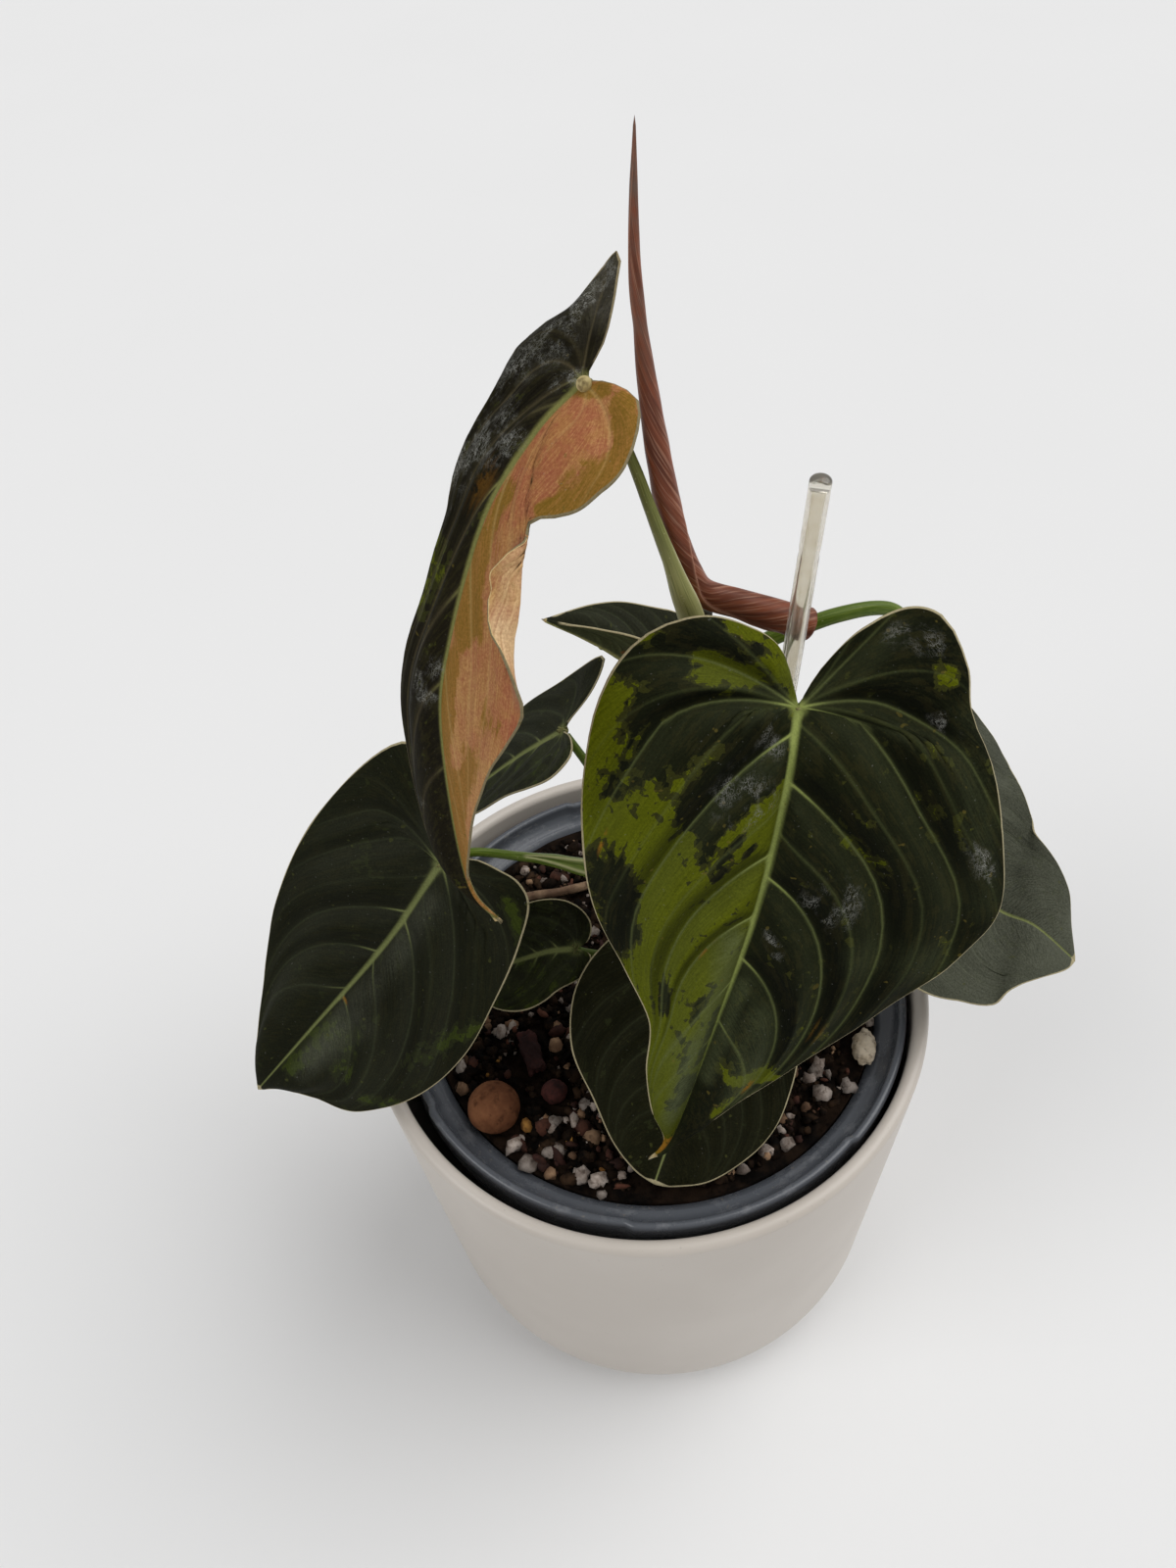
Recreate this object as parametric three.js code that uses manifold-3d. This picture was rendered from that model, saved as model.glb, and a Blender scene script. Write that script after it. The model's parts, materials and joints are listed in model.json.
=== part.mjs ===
/**
 * Potted variegated philodendron: a rounded planter, a nursery pot with potting mix, one climbing stem,
 * eight heart-shaped blades on their petioles, a leaf that is still rolled up, and a clear stake.
 * Millimetres, +Z up, origin at the centre of the planter's base, front towards -Y.
 */
import * as THREE from "three";
import { mergeVertices } from "three/addons/utils/BufferGeometryUtils.js";
import Module from "manifold-3d";

// Planter
const PLANTER_HEIGHT = 120;
const PLANTER_RIM_RADIUS = 67.5;
const PLANTER_BASE_RADIUS = 63.8;
const PLANTER_CORNER_RADIUS = 22;
const PLANTER_WALL = 3.6;
const PLANTER_FLOOR = 5;

// Nursery pot
const SEAT_GAP = 0.3;
const NURSERY_LIP_RADIUS = 61.8;
const NURSERY_BASE_RADIUS = 41;
const NURSERY_LIP_DROP = 1.7;
const NURSERY_BAND_HEIGHT = 11;
const NURSERY_WALL = 1.1;
const NURSERY_OFFSET_X = 1.2;
const DRAIN_HOLE_RADIUS = 4;
const DRAIN_HOLE_COUNT = 6;
const DRAIN_CIRCLE_RADIUS = 28;

// Potting mix
const MIX_EDGE_DROP = 6.8;
const MIX_CROWN = 2.2;
const MIX_ROUGHNESS = 1.1;
const PERLITE_COUNT = 46;
const PERLITE_SIZE = [0.9, 2.1];

// Plant
const BLADE_THICKNESS = 0.8;
const BLADE_ROWS = 18;
const BLADE_STEPS = 4;
const LOBE_SHARE = 0.34;
const STEM_RADIUS = 3.1;
const STAKE_RADIUS = 1.75;
const STAKE_CLEARANCE = 0.35;

const wasm = await Module();
wasm.setup();
const { Manifold, Mesh: ManifoldMesh } = wasm;

/** Repeatable random numbers from 0 to 1. */
function seededRandom(seed) {
  let state = seed;
  return () => {
    state = (state * 1664525 + 1013904223) % 4294967296;
    return state / 4294967296;
  };
}

/** Linear reading of evenly spaced values, t from 0 to 1. */
function between(values, t) {
  const place = Math.min(Math.max(t, 0), 1) * (values.length - 1);
  const index = Math.min(Math.floor(place), values.length - 2);
  return values[index] + (values[index + 1] - values[index]) * (place - index);
}

/** Smooth curve through points given as [x, y, z]. */
function smoothCurve(points) {
  const curve = new THREE.CatmullRomCurve3(
    points.map(([x, y, z = 0]) => new THREE.Vector3(x, y, z)),
    false,
    "catmullrom",
    0.5,
  );
  curve.arcLengthDivisions = 400;
  return curve;
}

/** Closed geometry from plain vertices and faces. */
function geometryFrom(vertices, faces) {
  const geometry = new THREE.BufferGeometry();
  const flat = vertices.flatMap((v) => [v.x, v.y, v.z]);
  geometry.setAttribute("position", new THREE.Float32BufferAttribute(flat, 3));
  geometry.setIndex(faces.flat());
  return geometry;
}

/** Closed skin over sections: rings of equal count, or a single point where the skin closes. */
function skinned(sections) {
  const vertices = [];
  const faces = [];
  const starts = sections.map((section) => {
    vertices.push(...section);
    return vertices.length - section.length;
  });
  for (let i = 0; i + 1 < sections.length; i += 1) {
    const lower = sections[i].length;
    const upper = sections[i + 1].length;
    const count = Math.max(lower, upper);
    for (let j = 0; j < count; j += 1) {
      const next = (j + 1) % count;
      const a = starts[i] + (j % lower);
      const b = starts[i] + (next % lower);
      const c = starts[i + 1] + (next % upper);
      const d = starts[i + 1] + (j % upper);
      if (a !== b) faces.push([a, b, c]);
      if (c !== d) faces.push([a, c, d]);
    }
  }
  return geometryFrom(vertices, faces);
}

/** Turned body from [radius, height] pairs that start and end on the axis. */
function turned(profile, segments) {
  return skinned(
    profile.map(([radius, height]) => {
      if (radius === 0) return [new THREE.Vector3(0, 0, height)];
      return Array.from({ length: segments }, (_, k) => {
        const angle = (k / segments) * 2 * Math.PI;
        return new THREE.Vector3(radius * Math.cos(angle), radius * Math.sin(angle), height);
      });
    }),
  );
}

/** Stalk along a smooth path; radii are spread evenly over its length. */
function stalk({ path, radii, sides = 8, steps = 12, grow = 0 }) {
  const curve = smoothCurve(path);
  const frames = curve.computeFrenetFrames(steps, false);
  const rings = Array.from({ length: steps + 1 }, (_, i) => {
    const centre = curve.getPointAt(i / steps);
    const radius = between(radii, i / steps) + grow;
    return Array.from({ length: sides }, (__, k) => {
      const angle = (k / sides) * 2 * Math.PI;
      return centre
        .clone()
        .addScaledVector(frames.normals[i], radius * Math.cos(angle))
        .addScaledVector(frames.binormals[i], radius * Math.sin(angle));
    });
  });
  const start = curve.getPointAt(0).addScaledVector(frames.tangents[0], -0.4 * (radii[0] + grow));
  const endReach = 0.4 * (radii.at(-1) + grow);
  const end = curve.getPointAt(1).addScaledVector(frames.tangents[steps], endReach);
  return skinned([[start], ...rings, [end]]);
}

/** Solid for joining and cutting. */
function toSolid(geometry) {
  const plain = geometry.clone();
  plain.deleteAttribute("normal");
  plain.deleteAttribute("uv");
  const merged = mergeVertices(plain, 1e-4);
  return new Manifold(
    new ManifoldMesh({
      numProp: 3,
      vertProperties: new Float32Array(merged.attributes.position.array),
      triVerts: new Uint32Array(merged.index.array),
    }),
  );
}

/** Geometry of a joined or cut solid. */
function fromSolid(solid) {
  const mesh = solid.getMesh();
  const geometry = new THREE.BufferGeometry();
  const positions = new Float32Array((mesh.vertProperties.length / mesh.numProp) * 3);
  for (let i = 0; i < positions.length / 3; i += 1) {
    for (let k = 0; k < 3; k += 1) {
      positions[i * 3 + k] = mesh.vertProperties[i * mesh.numProp + k];
    }
  }
  geometry.setAttribute("position", new THREE.BufferAttribute(positions, 3));
  geometry.setIndex(new THREE.BufferAttribute(new Uint32Array(mesh.triVerts), 1));
  return geometry;
}

/** Arc of [radius, height] pairs about a centre, angles in degrees. */
function arc(centreRadius, centreHeight, radius, from, to, steps) {
  return Array.from({ length: steps + 1 }, (_, i) => {
    const angle = THREE.MathUtils.degToRad(from + ((to - from) * i) / steps);
    return [centreRadius + radius * Math.cos(angle), centreHeight + radius * Math.sin(angle)];
  });
}

/** Outer pot: flat base, wide round corner, slightly flared wall and a rounded rim. */
function planter() {
  const cornerCentre = PLANTER_BASE_RADIUS - PLANTER_CORNER_RADIUS;
  const innerCorner = PLANTER_CORNER_RADIUS - PLANTER_WALL;
  const rimRound = PLANTER_WALL / 2;
  const rimHeight = PLANTER_HEIGHT - rimRound;
  const profile = [
    [0, 0],
    ...arc(cornerCentre, PLANTER_CORNER_RADIUS, PLANTER_CORNER_RADIUS, -90, 0, 7),
    ...arc(PLANTER_RIM_RADIUS - rimRound, rimHeight, rimRound, 0, 180, 4),
    ...arc(cornerCentre, PLANTER_FLOOR + innerCorner, innerCorner, 0, -90, 5),
    [0, PLANTER_FLOOR],
  ];
  return turned(profile, 48);
}

const nurseryFloor = PLANTER_FLOOR + SEAT_GAP;
const lipHeight = PLANTER_HEIGHT - NURSERY_LIP_DROP;
const collarRadius = NURSERY_LIP_RADIUS - 5.6;

/** Radius of the inside of the nursery pot at a height. */
function nurseryInside(height) {
  const share = (height - nurseryFloor) / (lipHeight - nurseryFloor);
  return NURSERY_BASE_RADIUS + (collarRadius - NURSERY_BASE_RADIUS) * share - NURSERY_WALL;
}

/** Grow pot: tapered cup, stepped-out lip band, sloping collar and drain holes. */
function nurseryPot() {
  const bandFoot = lipHeight - NURSERY_BAND_HEIGHT;
  const collarHeight = lipHeight - 5.2;
  const profile = [
    [0, nurseryFloor],
    [NURSERY_BASE_RADIUS, nurseryFloor],
    [nurseryInside(bandFoot) + NURSERY_WALL, bandFoot],
    [NURSERY_LIP_RADIUS - 0.4, bandFoot + 0.4],
    [NURSERY_LIP_RADIUS, lipHeight - 0.7],
    [NURSERY_LIP_RADIUS - 0.6, lipHeight],
    [NURSERY_LIP_RADIUS - 1.5, lipHeight],
    [NURSERY_LIP_RADIUS - 2, lipHeight - 0.7],
    [NURSERY_LIP_RADIUS - 2.5, lipHeight - 2.6],
    [collarRadius, collarHeight],
    [nurseryInside(collarHeight - 1.5), collarHeight - 1.5],
    [nurseryInside(nurseryFloor + 1.5), nurseryFloor + 1.5],
    [0, nurseryFloor + 1.5],
  ];
  const drains = Array.from({ length: DRAIN_HOLE_COUNT }, (_, i) => {
    const angle = (i / DRAIN_HOLE_COUNT) * 2 * Math.PI;
    const x = DRAIN_CIRCLE_RADIUS * Math.cos(angle);
    const y = DRAIN_CIRCLE_RADIUS * Math.sin(angle);
    const drill = Manifold.cylinder(6, DRAIN_HOLE_RADIUS, DRAIN_HOLE_RADIUS, 12);
    return drill.translate([x, y, nurseryFloor - 2]);
  });
  const cup = toSolid(turned(profile, 48)).subtract(Manifold.union(drains));
  return fromSolid(cup.translate([NURSERY_OFFSET_X, 0, 0]));
}

/** Height of the potting mix at a place in the nursery pot. */
function mixHeight(x, y) {
  const edge = PLANTER_HEIGHT - MIX_EDGE_DROP;
  const share = Math.min(Math.hypot(x, y) / collarRadius, 1);
  const lumps =
    Math.sin(x * 0.31 + 1.3) * Math.cos(y * 0.27 - 0.4) +
    0.6 * Math.sin(x * 0.73 - y * 0.41) +
    0.4 * Math.cos(x * 0.52 + y * 0.88);
  return edge + MIX_CROWN * (1 - share * share) + MIX_ROUGHNESS * 0.5 * lumps * (1 - share ** 6);
}

/** Body of mix with a lumpy top, before grains, stems and stones. */
function mixBody() {
  const sides = 40;
  const foot = nurseryFloor + 1.5 + SEAT_GAP;
  const edge = PLANTER_HEIGHT - MIX_EDGE_DROP;
  const ring = (radius, height) =>
    Array.from({ length: sides }, (_, k) => {
      const angle = (k / sides) * 2 * Math.PI;
      const x = radius * Math.cos(angle);
      const y = radius * Math.sin(angle);
      return new THREE.Vector3(x + NURSERY_OFFSET_X, y, height ?? mixHeight(x, y));
    });
  const edgeRadius = nurseryInside(edge) - SEAT_GAP;
  const shares = [1, 0.97, 0.88, 0.76, 0.64, 0.52, 0.4, 0.28, 0.15];
  const top = shares.map((share) => ring(edgeRadius * share));
  return skinned([
    [new THREE.Vector3(NURSERY_OFFSET_X, 0, foot)],
    ring(nurseryInside(foot) - SEAT_GAP, foot),
    ...top,
    [new THREE.Vector3(NURSERY_OFFSET_X, 0, mixHeight(0, 0))],
  ]);
}

/** Rough stone or chip: a ball stretched, knocked about and turned. */
function lump({ at, size, turn = [0, 0, 0], detail = 1, roughness = 0.12, seed = 1, grow = 0 }) {
  const geometry = new THREE.IcosahedronGeometry(1, detail);
  geometry.deleteAttribute("normal");
  geometry.deleteAttribute("uv");
  const merged = mergeVertices(geometry, 1e-4);
  const random = seededRandom(seed);
  const position = merged.attributes.position;
  const point = new THREE.Vector3();
  for (let i = 0; i < position.count; i += 1) {
    point.fromBufferAttribute(position, i).multiplyScalar(1 + roughness * (random() * 2 - 1));
    point.multiply(new THREE.Vector3(size[0] + grow, size[1] + grow, size[2] + grow));
    position.setXYZ(i, point.x, point.y, point.z);
  }
  merged.rotateX(THREE.MathUtils.degToRad(turn[0]));
  merged.rotateY(THREE.MathUtils.degToRad(turn[1]));
  merged.rotateZ(THREE.MathUtils.degToRad(turn[2]));
  return merged.translate(at[0], at[1], at[2]);
}

// Stones, chips and the root that lie on the mix; size is the half extent
const STONES = [
  {
    name: "clay_pebble",
    at: [-38, -29.6, 117.2],
    size: [6.3, 6.3, 6],
    detail: 2,
    roughness: 0.03,
    seed: 3,
  },
  {
    name: "small_clay_pebble",
    at: [-24, -26.5, 115.8],
    size: [3.4, 3.2, 3.2],
    roughness: 0.08,
    seed: 8,
  },
  {
    name: "bark_chip",
    at: [-29, -15.5, 115.8],
    size: [3.4, 8, 2.2],
    turn: [0, 0, 14],
    roughness: 0.2,
    seed: 5,
  },
  {
    name: "cream_pebble",
    at: [49, -22.6, 114.9],
    size: [3.4, 5.6, 2.6],
    turn: [0, 0, -16],
    roughness: 0.1,
    seed: 9,
  },
];
const ROOT = {
  path: [[-29, 30, 115.5], [-21, 29, 117.5], [-12, 31, 116.6], [-3, 35, 114.6]],
  radii: [1.1, 1.2, 0.8],
};

// Main stem and stake
const STEM = {
  path: [[5, 5, 72], [7, 4.5, 115], [10, 4, 165], [12, 2.4, 205], [12.9, 0.9, 232]],
  radii: [STEM_RADIUS, STEM_RADIUS, STEM_RADIUS * 0.95, STEM_RADIUS * 0.85, STEM_RADIUS * 0.7],
  sides: 10,
  steps: 16,
};
const STAKE = {
  path: [[19, -6, 72], [22.7, -6, 135], [26.3, -6, 198], [30, -6, 262]],
  radii: [STAKE_RADIUS, STAKE_RADIUS],
  sides: 12,
  steps: 3,
};

/** Potting mix with its grains, cut clear of everything that stands or lies in it. */
function pottingMix() {
  const random = seededRandom(41);
  const grains = Array.from({ length: PERLITE_COUNT }, (_, i) => {
    const radius = 50 * Math.sqrt(random());
    const angle = 2 * Math.PI * random();
    const size = THREE.MathUtils.lerp(PERLITE_SIZE[0], PERLITE_SIZE[1], random());
    const x = radius * Math.cos(angle);
    const y = radius * Math.sin(angle);
    const at = [x + NURSERY_OFFSET_X, y, mixHeight(x, y) - 0.15 * size];
    return toSolid(lump({ at, size: [size, size, size], detail: 0, seed: i + 1 }));
  });
  const hollows = [
    toSolid(stalk({ ...STEM, grow: STAKE_CLEARANCE })),
    toSolid(stalk({ ...STAKE, grow: STAKE_CLEARANCE })),
    toSolid(stalk({ ...ROOT, grow: SEAT_GAP })),
    ...STONES.map((stone) => toSolid(lump({ ...stone, grow: SEAT_GAP }))),
  ];
  return fromSolid(Manifold.union([toSolid(mixBody()), ...grains]).subtract(Manifold.union(hollows)));
}

/**
 * Blades. The midrib runs from the sinus to the tip; face is the way the upper side looks. Outlines are
 * [across, along] from the sinus to the last point before the tip, left and right as seen from above the
 * blade with its tip towards the viewer. Fold lifts a half, curl bends it on towards its margin; both are
 * in degrees, read evenly from the sinus to the tip.
 */
const BLADES = [
  {
    name: "leaf_blade_front",
    midrib: [
      [27, -17, 225], [24, -25, 213], [18.5, -33, 189.5], [10.5, -41, 164.5], [1, -48.5, 134],
      [-4.5, -51, 129.5],
    ],
    face: [0.05, -0.75, 0.65],
    left: {
      outline: [
        [5, -9.5], [12, -13], [20, -13.5], [28, -9.5], [33, -2], [35, 9], [34, 24], [29.5, 42],
        [21, 56], [13, 68], [10.5, 81], [6.5, 93], [1.6, 101], [0.7, 105],
      ],
      fold: [12, 10, 8],
      curl: [-10, -10, 0],
    },
    right: {
      outline: [
        [3, -7], [8, -14], [15, -18.5], [21, -17.5], [26, -10.5], [28, -3], [33, 6], [38, 18],
        [41.5, 31], [37.5, 41], [28, 54], [18, 71], [9.5, 86], [2, 100.5], [0.7, 105],
      ],
      fold: [12, 10, 8],
      curl: [-10, -10, 0],
    },
  },
  {
    name: "leaf_blade_tall",
    rows: 26,
    midrib: [
      [-4.5, -4, 280.5], [-11.5, -7, 275.5], [-20, -11, 265.5], [-27.5, -18, 249.5],
      [-31.5, -23, 234], [-32, -29, 203], [-27.5, -31, 191],
    ],
    face: [-0.75, -0.45, 0.3],
    left: {
      outline: [
        [3.3, -6.6], [8.9, -12.7], [14.5, -17.7], [13.2, -12], [12.9, -5], [13.8, 2], [13.2, 9],
        [12, 16], [11.8, 25], [10.8, 35], [11.5, 45], [12.3, 55], [11.4, 65], [10, 75],
        [7.2, 85], [3.5, 91.5], [1, 96],
      ],
      fold: [-4, -6, -2, 10, 26],
      curl: [-6, -6, 0, 0, 0],
    },
    right: {
      outline: [
        [4, -2.2], [9.5, -3], [13.5, 0], [16, 4], [16.8, 9.5], [13.5, 14.5], [11, 18.5],
        [16, 22], [19, 28], [18.5, 34], [18.5, 40], [20.5, 46], [19, 52], [14.5, 58], [10.8, 64],
        [7.8, 71], [4.7, 79], [1.5, 88], [0.8, 96],
      ],
      fold: [4, 0, 0],
      curl: [0, 0, 90, 220, 60, 0, 0, 0, 0, 0, 0],
      curlPower: 4,
    },
  },
  {
    name: "leaf_blade_left",
    midrib: [[-40, -10, 183.5], [-54, -15, 165.5], [-75, -20, 142.5], [-90.5, -24, 126]],
    face: [-0.2, -0.7, 0.7],
    left: {
      outline: [
        [5, -8], [12, -15], [18, -17.5], [22, -12], [25, -1], [27, 14], [25.5, 30], [20, 44],
        [12.5, 58], [5.5, 70],
      ],
      fold: [6, 6, 6],
      curl: [-10, -10, -10],
    },
    right: {
      outline: [
        [5, -6], [10, -8], [15, -8.5], [19.5, -5.5], [22.5, 4], [25, 17], [27.5, 30], [26.5, 45],
        [20, 60], [11, 66.5], [4, 72],
      ],
      fold: [6, 6, 6],
      curl: [-10, -10, -10],
    },
  },
  {
    name: "leaf_blade_rear_left",
    midrib: [[-13.5, 18, 189], [-24.5, 20, 179.5], [-36, 21, 168.5], [-47, 22, 155]],
    face: [-0.6, 0, 0.75],
    left: {
      outline: [[2, -3], [6, -9], [12, -13], [13.5, -5], [13, 4], [12, 14], [9.5, 25], [5, 37]],
      fold: [5, 5, 5],
      curl: [0, 0, 0],
    },
    right: {
      outline: [[4, -3], [9, -3.5], [12, 1], [11.5, 8], [10, 16], [8, 26], [4.5, 38]],
      fold: [5, 5, 5],
      curl: [0, 0, 0],
    },
  },
  {
    name: "leaf_blade_rear",
    midrib: [[14, 22, 193], [5, 22.5, 198.5], [-4, 23.5, 206.5], [-15, 24, 214.5]],
    face: [0, 0.1, 1],
    left: {
      outline: [[4, -4], [9, -5], [13, -1], [15.5, 7], [13, 17], [8, 26]],
      fold: [37, 37, 37],
      curl: [0, 0, 0],
    },
    right: {
      outline: [[3, -4], [8, -5], [11, -1], [11, 8], [8.5, 17], [4, 26]],
      fold: [72, 72, 72],
      curl: [0, 0, 0],
    },
  },
  {
    name: "leaf_blade_right",
    midrib: [
      [57.5, 8, 180.5], [63.5, 5, 165.5], [70.5, 0, 151.5], [80.5, -5, 141], [88.5, -9, 138.5],
      [98, -14, 130],
    ],
    face: [0.5, -0.5, 0.7],
    left: {
      outline: [
        [5, -4], [12, -9], [19, -6], [24, 3], [26, 13], [29, 24], [29, 37], [22, 52], [13, 61],
        [4.5, 69],
      ],
      fold: [0, 0, 0],
      curl: [0, 0, 0],
    },
    right: {
      outline: [
        [5, -4], [12, -8], [19, -4], [25, 5], [29, 17], [31.5, 30], [29, 43], [20.5, 53.5],
        [13, 62], [4, 68.5],
      ],
      fold: [0, 0, 0],
      curl: [0, 0, 0],
    },
  },
  {
    name: "leaf_blade_lower_front",
    midrib: [[13, -15, 144], [8.5, -27, 137], [3, -40, 126.5], [-3.5, -51.5, 118]],
    face: [0, -0.6, 0.8],
    left: {
      outline: [
        [4, -5], [10, -9], [17, -8], [22, -2], [26, 5], [27.5, 13], [25.5, 23], [20, 32],
        [13, 41], [6, 46],
      ],
      fold: [4, 4, 4],
      curl: [-6, -6, 0],
    },
    right: {
      outline: [
        [4, -5], [10, -8], [16, -6], [20, 0], [22.5, 10], [22.7, 21], [21, 30], [16, 37.5],
        [10.5, 43.5], [4, 47],
      ],
      fold: [4, 4, 4],
      curl: [-6, -6, 0],
    },
  },
  {
    name: "leaf_blade_small_low",
    midrib: [[-15.5, -8, 146], [-21.5, -8, 146], [-27.5, -8, 144], [-43, -8, 138.5]],
    face: [-0.2, -0.5, 0.85],
    left: {
      outline: [[2, -3], [6, -3.5], [10, 0], [11.5, 7], [9.5, 15], [5, 23]],
      fold: [5, 5, 5],
      curl: [0, 0, 0],
    },
    right: {
      outline: [[2, -3], [6, -1], [9, 6], [11, 14], [9, 21], [4, 26]],
      fold: [5, 5, 5],
      curl: [0, 0, 0],
    },
  },
];

/** Middle surface of one blade, reached by [across, along] on either half. */
class BladeSurface {
  constructor({ midrib, face, left, right, rows = BLADE_ROWS }) {
    this.rows = rows;
    this.line = smoothCurve(midrib);
    this.length = this.line.getLength();
    this.face = new THREE.Vector3(...face);
    this.halves = { left, right };
  }

  /** Place, direction and sideways and upper axes of the midrib at a distance from the sinus. */
  frame(along) {
    const share = Math.min(Math.max(along / this.length, 0), 1);
    const tangent = this.line.getTangentAt(share);
    const side = new THREE.Vector3().crossVectors(this.face, tangent).normalize();
    const upper = new THREE.Vector3().crossVectors(tangent, side);
    const origin = this.line.getPointAt(share).addScaledVector(tangent, Math.min(along, 0));
    return { origin, side, upper };
  }

  /** Point of a half at flat coordinates; the section is a bend that starts at the fold angle. */
  point(half, across, along) {
    const { fold, curl, curlPower = 1, outline } = this.halves[half];
    const { origin, side, upper } = this.frame(along);
    const share = along / this.length;
    const widest = Math.max(...outline.map(([x]) => x));
    const steps = 12;
    let out = 0;
    let up = 0;
    for (let k = 0; k < steps; k += 1) {
      const reach = (((k + 0.5) / steps) * (across / widest)) ** curlPower;
      const angle = THREE.MathUtils.degToRad(between(fold, share) + between(curl, share) * reach);
      out += (Math.cos(angle) * across) / steps;
      up += (Math.sin(angle) * across) / steps;
    }
    const sign = half === "right" ? 1 : -1;
    return origin.addScaledVector(side, sign * out).addScaledVector(upper, up);
  }

  /** Flat place on the way from the midrib (reach 0) to the margin (reach 1), bowed like a side vein. */
  flatPlace(half, row, reach) {
    const margin = this.margins[half].getPointAt(row);
    const root = this.length * Math.max((row - LOBE_SHARE) / (1 - LOBE_SHARE), 0);
    const bowAcross = 0.6 * margin.x;
    const bowAlong = root + 0.3 * (margin.y - root);
    const near = (1 - reach) ** 2;
    const middle = 2 * reach * (1 - reach);
    const far = reach ** 2;
    return [middle * bowAcross + far * margin.x, near * root + middle * bowAlong + far * margin.y];
  }

  /** Margin curves of both halves from the sinus to the tip. */
  get margins() {
    this.marginCurves ??= Object.fromEntries(
      Object.entries(this.halves).map(([half, { outline }]) => [
        half,
        smoothCurve([[0, 0], ...outline, [0, this.length]]),
      ]),
    );
    return this.marginCurves;
  }
}

/** Closed blade: the middle surface thickened both ways, with the same triangles on both sides. */
function blade(spec) {
  const surface = new BladeSurface(spec);
  const points = [];
  const faces = [];
  const midribIndex = new Map();
  const add = (half, across, along) => points.push(surface.point(half, across, along)) - 1;
  const sinus = add("right", 0, 0);
  const tip = add("right", 0, surface.length);
  for (const half of ["left", "right"]) {
    const grid = [];
    for (let row = 0; row <= surface.rows; row += 1) {
      const share = row / surface.rows;
      const line = [];
      for (let step = 0; step <= BLADE_STEPS; step += 1) {
        const [across, along] = surface.flatPlace(half, share, step / BLADE_STEPS);
        if (row === 0 || (step === 0 && share <= LOBE_SHARE)) line.push(sinus);
        else if (row === surface.rows) line.push(tip);
        else if (step > 0) line.push(add(half, across, along));
        else {
          if (!midribIndex.has(row)) midribIndex.set(row, add(half, across, along));
          line.push(midribIndex.get(row));
        }
      }
      grid.push(line);
    }
    for (let row = 0; row < surface.rows; row += 1) {
      for (let step = 0; step < BLADE_STEPS; step += 1) {
        const a = grid[row][step];
        const b = grid[row + 1][step];
        const c = grid[row + 1][step + 1];
        const d = grid[row][step + 1];
        const pair = half === "right" ? [[a, b, c], [a, c, d]] : [[a, c, b], [a, d, c]];
        faces.push(...pair.filter((face) => new Set(face).size === 3));
      }
    }
  }
  return thickened(points, faces, BLADE_THICKNESS);
}

/** Sheet of faces turned into a closed body of even thickness. */
function thickened(points, faces, thickness) {
  const normals = points.map(() => new THREE.Vector3());
  for (const [a, b, c] of faces) {
    const first = points[b].clone().sub(points[a]);
    const normal = first.cross(points[c].clone().sub(points[a]));
    [a, b, c].forEach((index) => normals[index].add(normal));
  }
  const count = points.length;
  normals.forEach((normal) => normal.normalize());
  const shifted = (amount) => points.map((point, i) => point.clone().addScaledVector(normals[i], amount));
  const vertices = [...shifted(thickness / 2), ...shifted(-thickness / 2)];
  const directed = new Set(faces.flatMap(([a, b, c]) => [`${a} ${b}`, `${b} ${c}`, `${c} ${a}`]));
  const closed = [...faces, ...faces.map(([a, b, c]) => [a + count, c + count, b + count])];
  for (const edge of directed) {
    const [p, q] = edge.split(" ").map(Number);
    if (!directed.has(`${q} ${p}`)) closed.push([q, p, p + count], [q, p + count, q + count]);
  }
  return geometryFrom(vertices, closed);
}

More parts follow.
